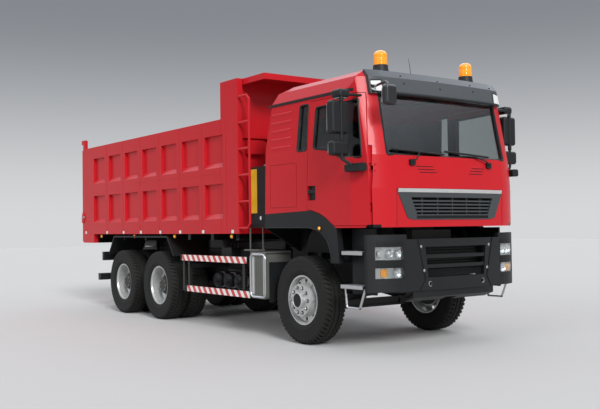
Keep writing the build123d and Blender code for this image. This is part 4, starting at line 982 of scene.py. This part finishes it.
class TRUCK_OT_body_trim(bpy.types.Operator):
    """Adds the body's reflectors, marker lamps, weld beads, gate latches and the box on the headboard"""

    bl_idname = "truck.body_trim"
    bl_label = "Body trim"

    def execute(self, context):
        tapes = [plate((x - 27, 1363), (x + 27, 1405), 5, 1, (1235, 1240)) for x in REFLECTOR_XS]
        frames = [plate((x - 31, 1359), (x + 31, 1409), 6, 1, (1234, 1237)) for x in REFLECTOR_XS]
        lamps = [knob([(26, 0), (26, 10), (18, 20)], (x, 1199, 1318), 24, top=23) for x in MARKER_XS]
        stems = [block((x - 30, x + 30), (1186, 1200), (1286, 1356)) for x in MARKER_XS]
        pair("reflectors", tapes, "bed", "white", 1)
        pair("reflector_frames", frames, "bed", "silver", 1)
        pair("marker_lamps", lamps, "bed", "amber")
        pair("marker_brackets", stems, "bed", "black", 3)
        seams = [((x, 1372), (x, 2932)) for x in range(-5788, -1641, 691)]
        seams += [((-6380, 2200), (-1800, 2200)), ((-1790, 1372), (-1790, 2930))]
        beads = [sweep([(x, 1236, z) for x, z in ends], 4.5, 8, 0.5, (0, 1, 0)) for ends in seams]
        pair("weld_beads", beads, "bed", "red")
        pair("top_rail", [sweep([(-6880, 1212, 2953), (-1800, 1212, 2953)], 21, 14, 0.35)], "bed", "red")
        latch = [knob([(26, -4), (26, 22)], LATCH_PIN), knob([(13, 20), (13, 34)], LATCH_PIN, 6)]
        pair("latch_pins", latch, "bed", "zinc")
        case = [plate((-1083, 2437), (-809, 2631), 14, 0, (-1392, -1300))]
        lid = [plate((-1075, 2445), (-817, 2623), 10, 0, (-1301, -1294)),
               block((-1300, -1290), (-830, -822), (2500, 2570))]
        sheet = [plate((-1208, 1625), (-1052, 2215), 10, 1, (-1114, -1110))]
        piece("headboard_box", case, "bed", "red", 4, 3)
        piece("headboard_lid", lid, "bed", "red", 2)
        piece("oil_plate", sheet, "chassis", "yellow", 1.5)
        return {"FINISHED"}


# The straps' places along the air tanks, the tanks' middles across and their height
STRAP_XS, TANK_YS, TANK_Z = (-2440, -2145, -1850), (-620, -840), 675
# Where the short pipes rise to the frame, and the heights of the long ones along it
RISER_XS, PIPE_ZS = (-1972, -1880, -1790), (962, 930, 898)
PIPE_Y, PIPE_SAG = -452, 5


class TRUCK_OT_chassis_trim(bpy.types.Operator):
    """Adds the tank straps, box frames, pipes, boxes and rear lamps of the chassis"""

    bl_idname = "truck.chassis_trim"
    bl_label = "Chassis trim"

    def execute(self, context):
        strap = [(111.5, -18), (114.5, -18), (114.5, 18), (111.5, 18)]
        bands = [turned(strap, (x, y, TANK_Z), 56) for x in STRAP_XS for y in TANK_YS]
        valves = [knob([(16, 0), (16, -12), (8, -20), (8, -34)], (x, -730, 566), 20, 2) for x in STRAP_XS]
        piece("tank_bands", bands, "chassis", "zinc")
        piece("tank_valves", valves, "chassis", "zinc")
        loop = eased([(-1022, 532), (-676, 532), (-676, 1084), (-1022, 1084)], 70, 7, closed=True)
        frame = sweep(np.insert(loop, 1, -1243, 1), 15, 10, 1.0, (0, 1, 0), closed=True)
        panels = [plate((x, 570), (x + 30, 1046), 8, 1, (-1241, -1234)) for x in range(-925, -780, 48)]
        strips = [plate((-1000, 560), (-946, 1056), 8, 1, (-1240, -1234)),
                  plate((-738, 560), (-716, 1056), 6, 1, (-1240, -1234))]
        lid = [block((-1037, -661), (-1238, -846), (1098, 1118))]
        lid += [block((x, x + 40), (-1246, -1236), (1060, 1112)) for x in (-1030, -710)]
        valve_box = [plate((-2105, 1012), (-1830, 1160), 30, 1, (-1050, -880))]
        piece("battery_frame", [frame], "chassis", "alloy")
        piece("battery_panels", panels, "chassis", "steel_grey", 3)
        piece("battery_strips", strips, "chassis", "silver", 2)
        piece("battery_lid", lid, "chassis", "steel_grey", 5, 3)
        piece("valve_box", valve_box, "chassis", "black", 8, 3)
        pipes = []
        for x in RISER_XS:
            bend = [(x, -960, 1155), (x, -960, 1228), (x, -700, 1240), (x, -446, 1240)]
            pipes.append(sweep(eased(bend, 30), 9, 10))
        for k, z in enumerate(PIPE_ZS):
            sag = PIPE_SAG * np.cos(np.linspace(0, 14 * np.pi, 26)) + k
            run = np.stack([np.linspace(-600, -5600, 26), np.full(26, PIPE_Y), z + sag], 1)
            pipes.append(sweep(run, 8, 10))
        clips = [block((x - 14, x + 14), (-464, -424), (886, 976)) for x in range(-900, -5400, -620)]
        piece("air_pipes", pipes, "chassis", "black")
        piece("pipe_clips", clips, "chassis", "zinc", 2)
        step = [block((-1240, -905), (-1205, -1090), (1125, 1146))]
        step += [block((x, x + 12), (-1120, -1100), (1146, 1430)) for x in (-1236, -925)]
        caps = [knob([(62, 0), (62, 20), (52, 36)], (-1040, -935, 2245), 36, 2, top=38),
                knob([(50, 0), (50, 24)], (-1560, 1060, 1050), 36, 2, top=26)]
        piece("side_step", step, "chassis", "steel_grey", 3)
        piece("filler_caps", caps, "chassis", "zinc", 1)
        piece("oil_sight", [knob([(26, 0), (26, -6)], (-960, -1110, 1560), 28)], "chassis", "mirror")
        for name, finish, low, high, face in TAIL_LENSES:
            pair(f"tail_{name}", [plate((low, 896), (high, 1014), 8, 0, (face, -6205))], "chassis", finish, 2)
        case = [plate((757, 877), (1153, 1033), 10, 0, (-6206, -6132)),
                block((-6190, -6150), (425, 760), (930, 980))]
        cases = [on_side(part, sign) for sign in SIDES.values() for part in case]
        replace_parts(piece("tail_lamp_cases", cases, "chassis", "black", 4), "tail_lamps")
        piece("underrun_tape", [block((-6403, -6399), (-1145, 1145), (528, 622))], "chassis", "tape", 1)
        guard = [plate((-2950, 957), (-1140, 1043), 4, 1, (1234, 1237)),
                 plate((-2795, 504), (-1060, 590), 4, 1, (1234, 1237))]
        pair("guard_tape", guard, "chassis", "tape", 1)
        return {"FINISHED"}


# Stage

# From where to where the floor reaches, in metres
FLOOR_SPAN = (-60, 60)
# Where the photo's camera stands
CAMERA_PLACE = (8268.1, -7155.26, 1431.6)
# Each lamp's direction and how wide it looks, in degrees
LAMPS = {"key": ((-1.0, 0.35, -0.58), 18), "side": ((-0.1, 1.0, -0.45), 30)}


class TRUCK_OT_stage(bpy.types.Operator):
    """Sets up the floor, the lamps, the world and the photo's camera"""

    bl_idname = "truck.stage"
    bl_label = "Stage"

    def execute(self, context):
        scene = context.scene
        size = scene.truck
        floor, tree, _place = new_material("pale_floor")
        close(tree, {"Base Color": linear("#DADADA"), "Roughness": 0.7, "Specular IOR Level": 0.08})
        mesh = bpy.data.meshes.new("floor")
        mesh.from_pydata([(*corner, 0) for corner in rect(FLOOR_SPAN, FLOOR_SPAN)], [], [(0, 1, 2, 3)])
        mesh.materials.append(floor)
        ground = bpy.data.objects.new("floor", mesh)
        scene.collection.objects.link(ground)
        self.light_world(scene)
        for name, (aim, spread) in LAMPS.items():
            lamp = bpy.data.lights.new(name, "SUN")
            lamp.energy = getattr(size, name)
            lamp.angle = math.radians(spread)
            obj = bpy.data.objects.new(name, lamp)
            obj.rotation_mode = "QUATERNION"
            obj.rotation_quaternion = Vector(aim).to_track_quat("-Z", "Y")
            scene.collection.objects.link(obj)
        data = bpy.data.cameras.new("camera")
        data.sensor_width = 36
        data.lens = size.lens
        data.clip_end = 200
        camera = bpy.data.objects.new("camera", data)
        quarter = math.pi / 2
        place = Matrix.Translation(Vector(at(*CAMERA_PLACE)))
        for angle, axis in ((size.yaw - quarter, "Z"), (size.pitch + quarter, "X"), (size.roll, "Z")):
            place = place @ Matrix.Rotation(angle, 4, axis)
        camera.matrix_world = place
        scene.collection.objects.link(camera)
        scene.camera = camera
        scene.view_settings.view_transform = "Standard"
        return {"FINISHED"}

    def light_world(self, scene):
        """A plain light; the camera and reflections see a wall instead, which darkens with height."""
        world = bpy.data.worlds.new("studio")
        world.use_nodes = True
        tree = world.node_tree
        tree.nodes.clear()
        path = add(tree, "ShaderNodeLightPath")
        rays = {0: path.outputs["Is Camera Ray"], 1: path.outputs["Is Glossy Ray"]}
        seen = add(tree, "ShaderNodeMath", rays, operation="MAXIMUM").outputs[0]
        light = add(tree, "ShaderNodeBackground", {"Color": linear("#F2F4F7"), "Strength": scene.truck.fill})
        aim = add(tree, "ShaderNodeTexCoord").outputs["Generated"]
        height = add(tree, "ShaderNodeSeparateXYZ", {"Vector": aim}).outputs["Z"]
        rise = add(tree, "ShaderNodeMapRange", {"Value": height, "From Min": 0.0, "From Max": 0.26},
                   interpolation_type="SMOOTHSTEP")
        mixed = {0: rise.outputs[0], 6: linear("#D6D7D9"), 7: linear("#85898F")}
        wall = add(tree, "ShaderNodeMix", mixed, data_type="RGBA").outputs[2]
        # Bright above the camera's view, as a soft box that the screen mirrors
        over = add(tree, "ShaderNodeMapRange", {
            "Value": height, "From Min": 0.3, "From Max": 0.5, "To Min": 1.0, "To Max": 7.0},
            interpolation_type="SMOOTHSTEP")
        shown = add(tree, "ShaderNodeBackground", {"Color": wall, "Strength": over.outputs[0]})
        both = add(tree, "ShaderNodeMixShader", {0: seen, 1: light.outputs[0], 2: shown.outputs[0]})
        add(tree, "ShaderNodeOutputWorld", {"Surface": both.outputs[0]})
        scene.world = world


class TRUCK_OT_finishes(bpy.types.Operator):
    """Gives every CAD node the material of what it is made of"""

    bl_idname = "truck.finishes"
    bl_label = "Finishes"

    def execute(self, context):
        MATERIALS.update(make_materials(context.scene.truck.paint))
        for name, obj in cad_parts.items():
            start = max((start for start in FINISH_OF if name.startswith(start)), key=len)
            obj.data.materials.clear()
            obj.data.materials.append(MATERIALS[FINISH_OF[start]])
        return {"FINISHED"}


class TruckSettings(bpy.types.PropertyGroup):
    """Sizes, paint and light levels that a user would change"""

    paint: bpy.props.FloatVectorProperty(name="Paint", description="Colour of the cab and the body", size=3,
                                         default=linear("#C41E27")[:3], min=0, max=1, subtype="COLOR")
    lugs: bpy.props.IntProperty(name="Lugs", description="Tread lugs round a tyre", default=54, min=20,
                                max=90)
    key: bpy.props.FloatProperty(name="Key", description="Strength of the key lamp", default=2.3, min=0)
    side: bpy.props.FloatProperty(name="Side", description="Strength of the side lamp", default=0.35, min=0)
    fill: bpy.props.FloatProperty(name="Fill", description="Strength of the world's light", default=0.6,
                                  min=0)
    yaw: bpy.props.FloatProperty(name="Yaw", description="Direction of the camera", default=2.514858,
                                 subtype="ANGLE")
    pitch: bpy.props.FloatProperty(name="Pitch", description="Tilt of the camera", default=0.027274,
                                   subtype="ANGLE")
    roll: bpy.props.FloatProperty(name="Roll", description="Roll of the camera", default=-0.013444,
                                  subtype="ANGLE")
    lens: bpy.props.FloatProperty(name="Lens", description="Focal length in millimetres on a 36 mm sensor",
                                  default=49.95, min=10)


class TRUCK_PT_panel(bpy.types.Panel):
    """Lists the truck's pieces and sizes"""

    bl_idname = "TRUCK_PT_panel"
    bl_label = "Dump truck"
    bl_space_type = "VIEW_3D"
    bl_region_type = "UI"
    bl_category = "Truck"

    def draw(self, context):
        for name in TruckSettings.__annotations__:
            self.layout.prop(context.scene.truck, name)
        for operator in OPERATORS:
            self.layout.operator(operator.bl_idname)


OPERATORS = (TRUCK_OT_finishes, TRUCK_OT_tyres, TRUCK_OT_wheel_fittings, TRUCK_OT_cab_seals, TRUCK_OT_wipers,
             TRUCK_OT_cab_front, TRUCK_OT_visor, TRUCK_OT_lamps, TRUCK_OT_bumper_trim, TRUCK_OT_body_trim,
             TRUCK_OT_chassis_trim, TRUCK_OT_stage)
CLASSES = (TruckSettings, TRUCK_PT_panel) + OPERATORS


def register():
    """Registers the classes and hangs the settings on the scene."""
    for cls in CLASSES:
        bpy.utils.register_class(cls)
    bpy.types.Scene.truck = bpy.props.PointerProperty(type=TruckSettings)


def unregister():
    """Undoes register."""
    del bpy.types.Scene.truck
    for cls in reversed(CLASSES):
        bpy.utils.unregister_class(cls)


def main():
    """Makes every piece in order."""
    register()
    for operator in OPERATORS:
        group, name = operator.bl_idname.split(".")
        getattr(getattr(bpy.ops, group), name)()


if __name__ == "__main__":
    main()
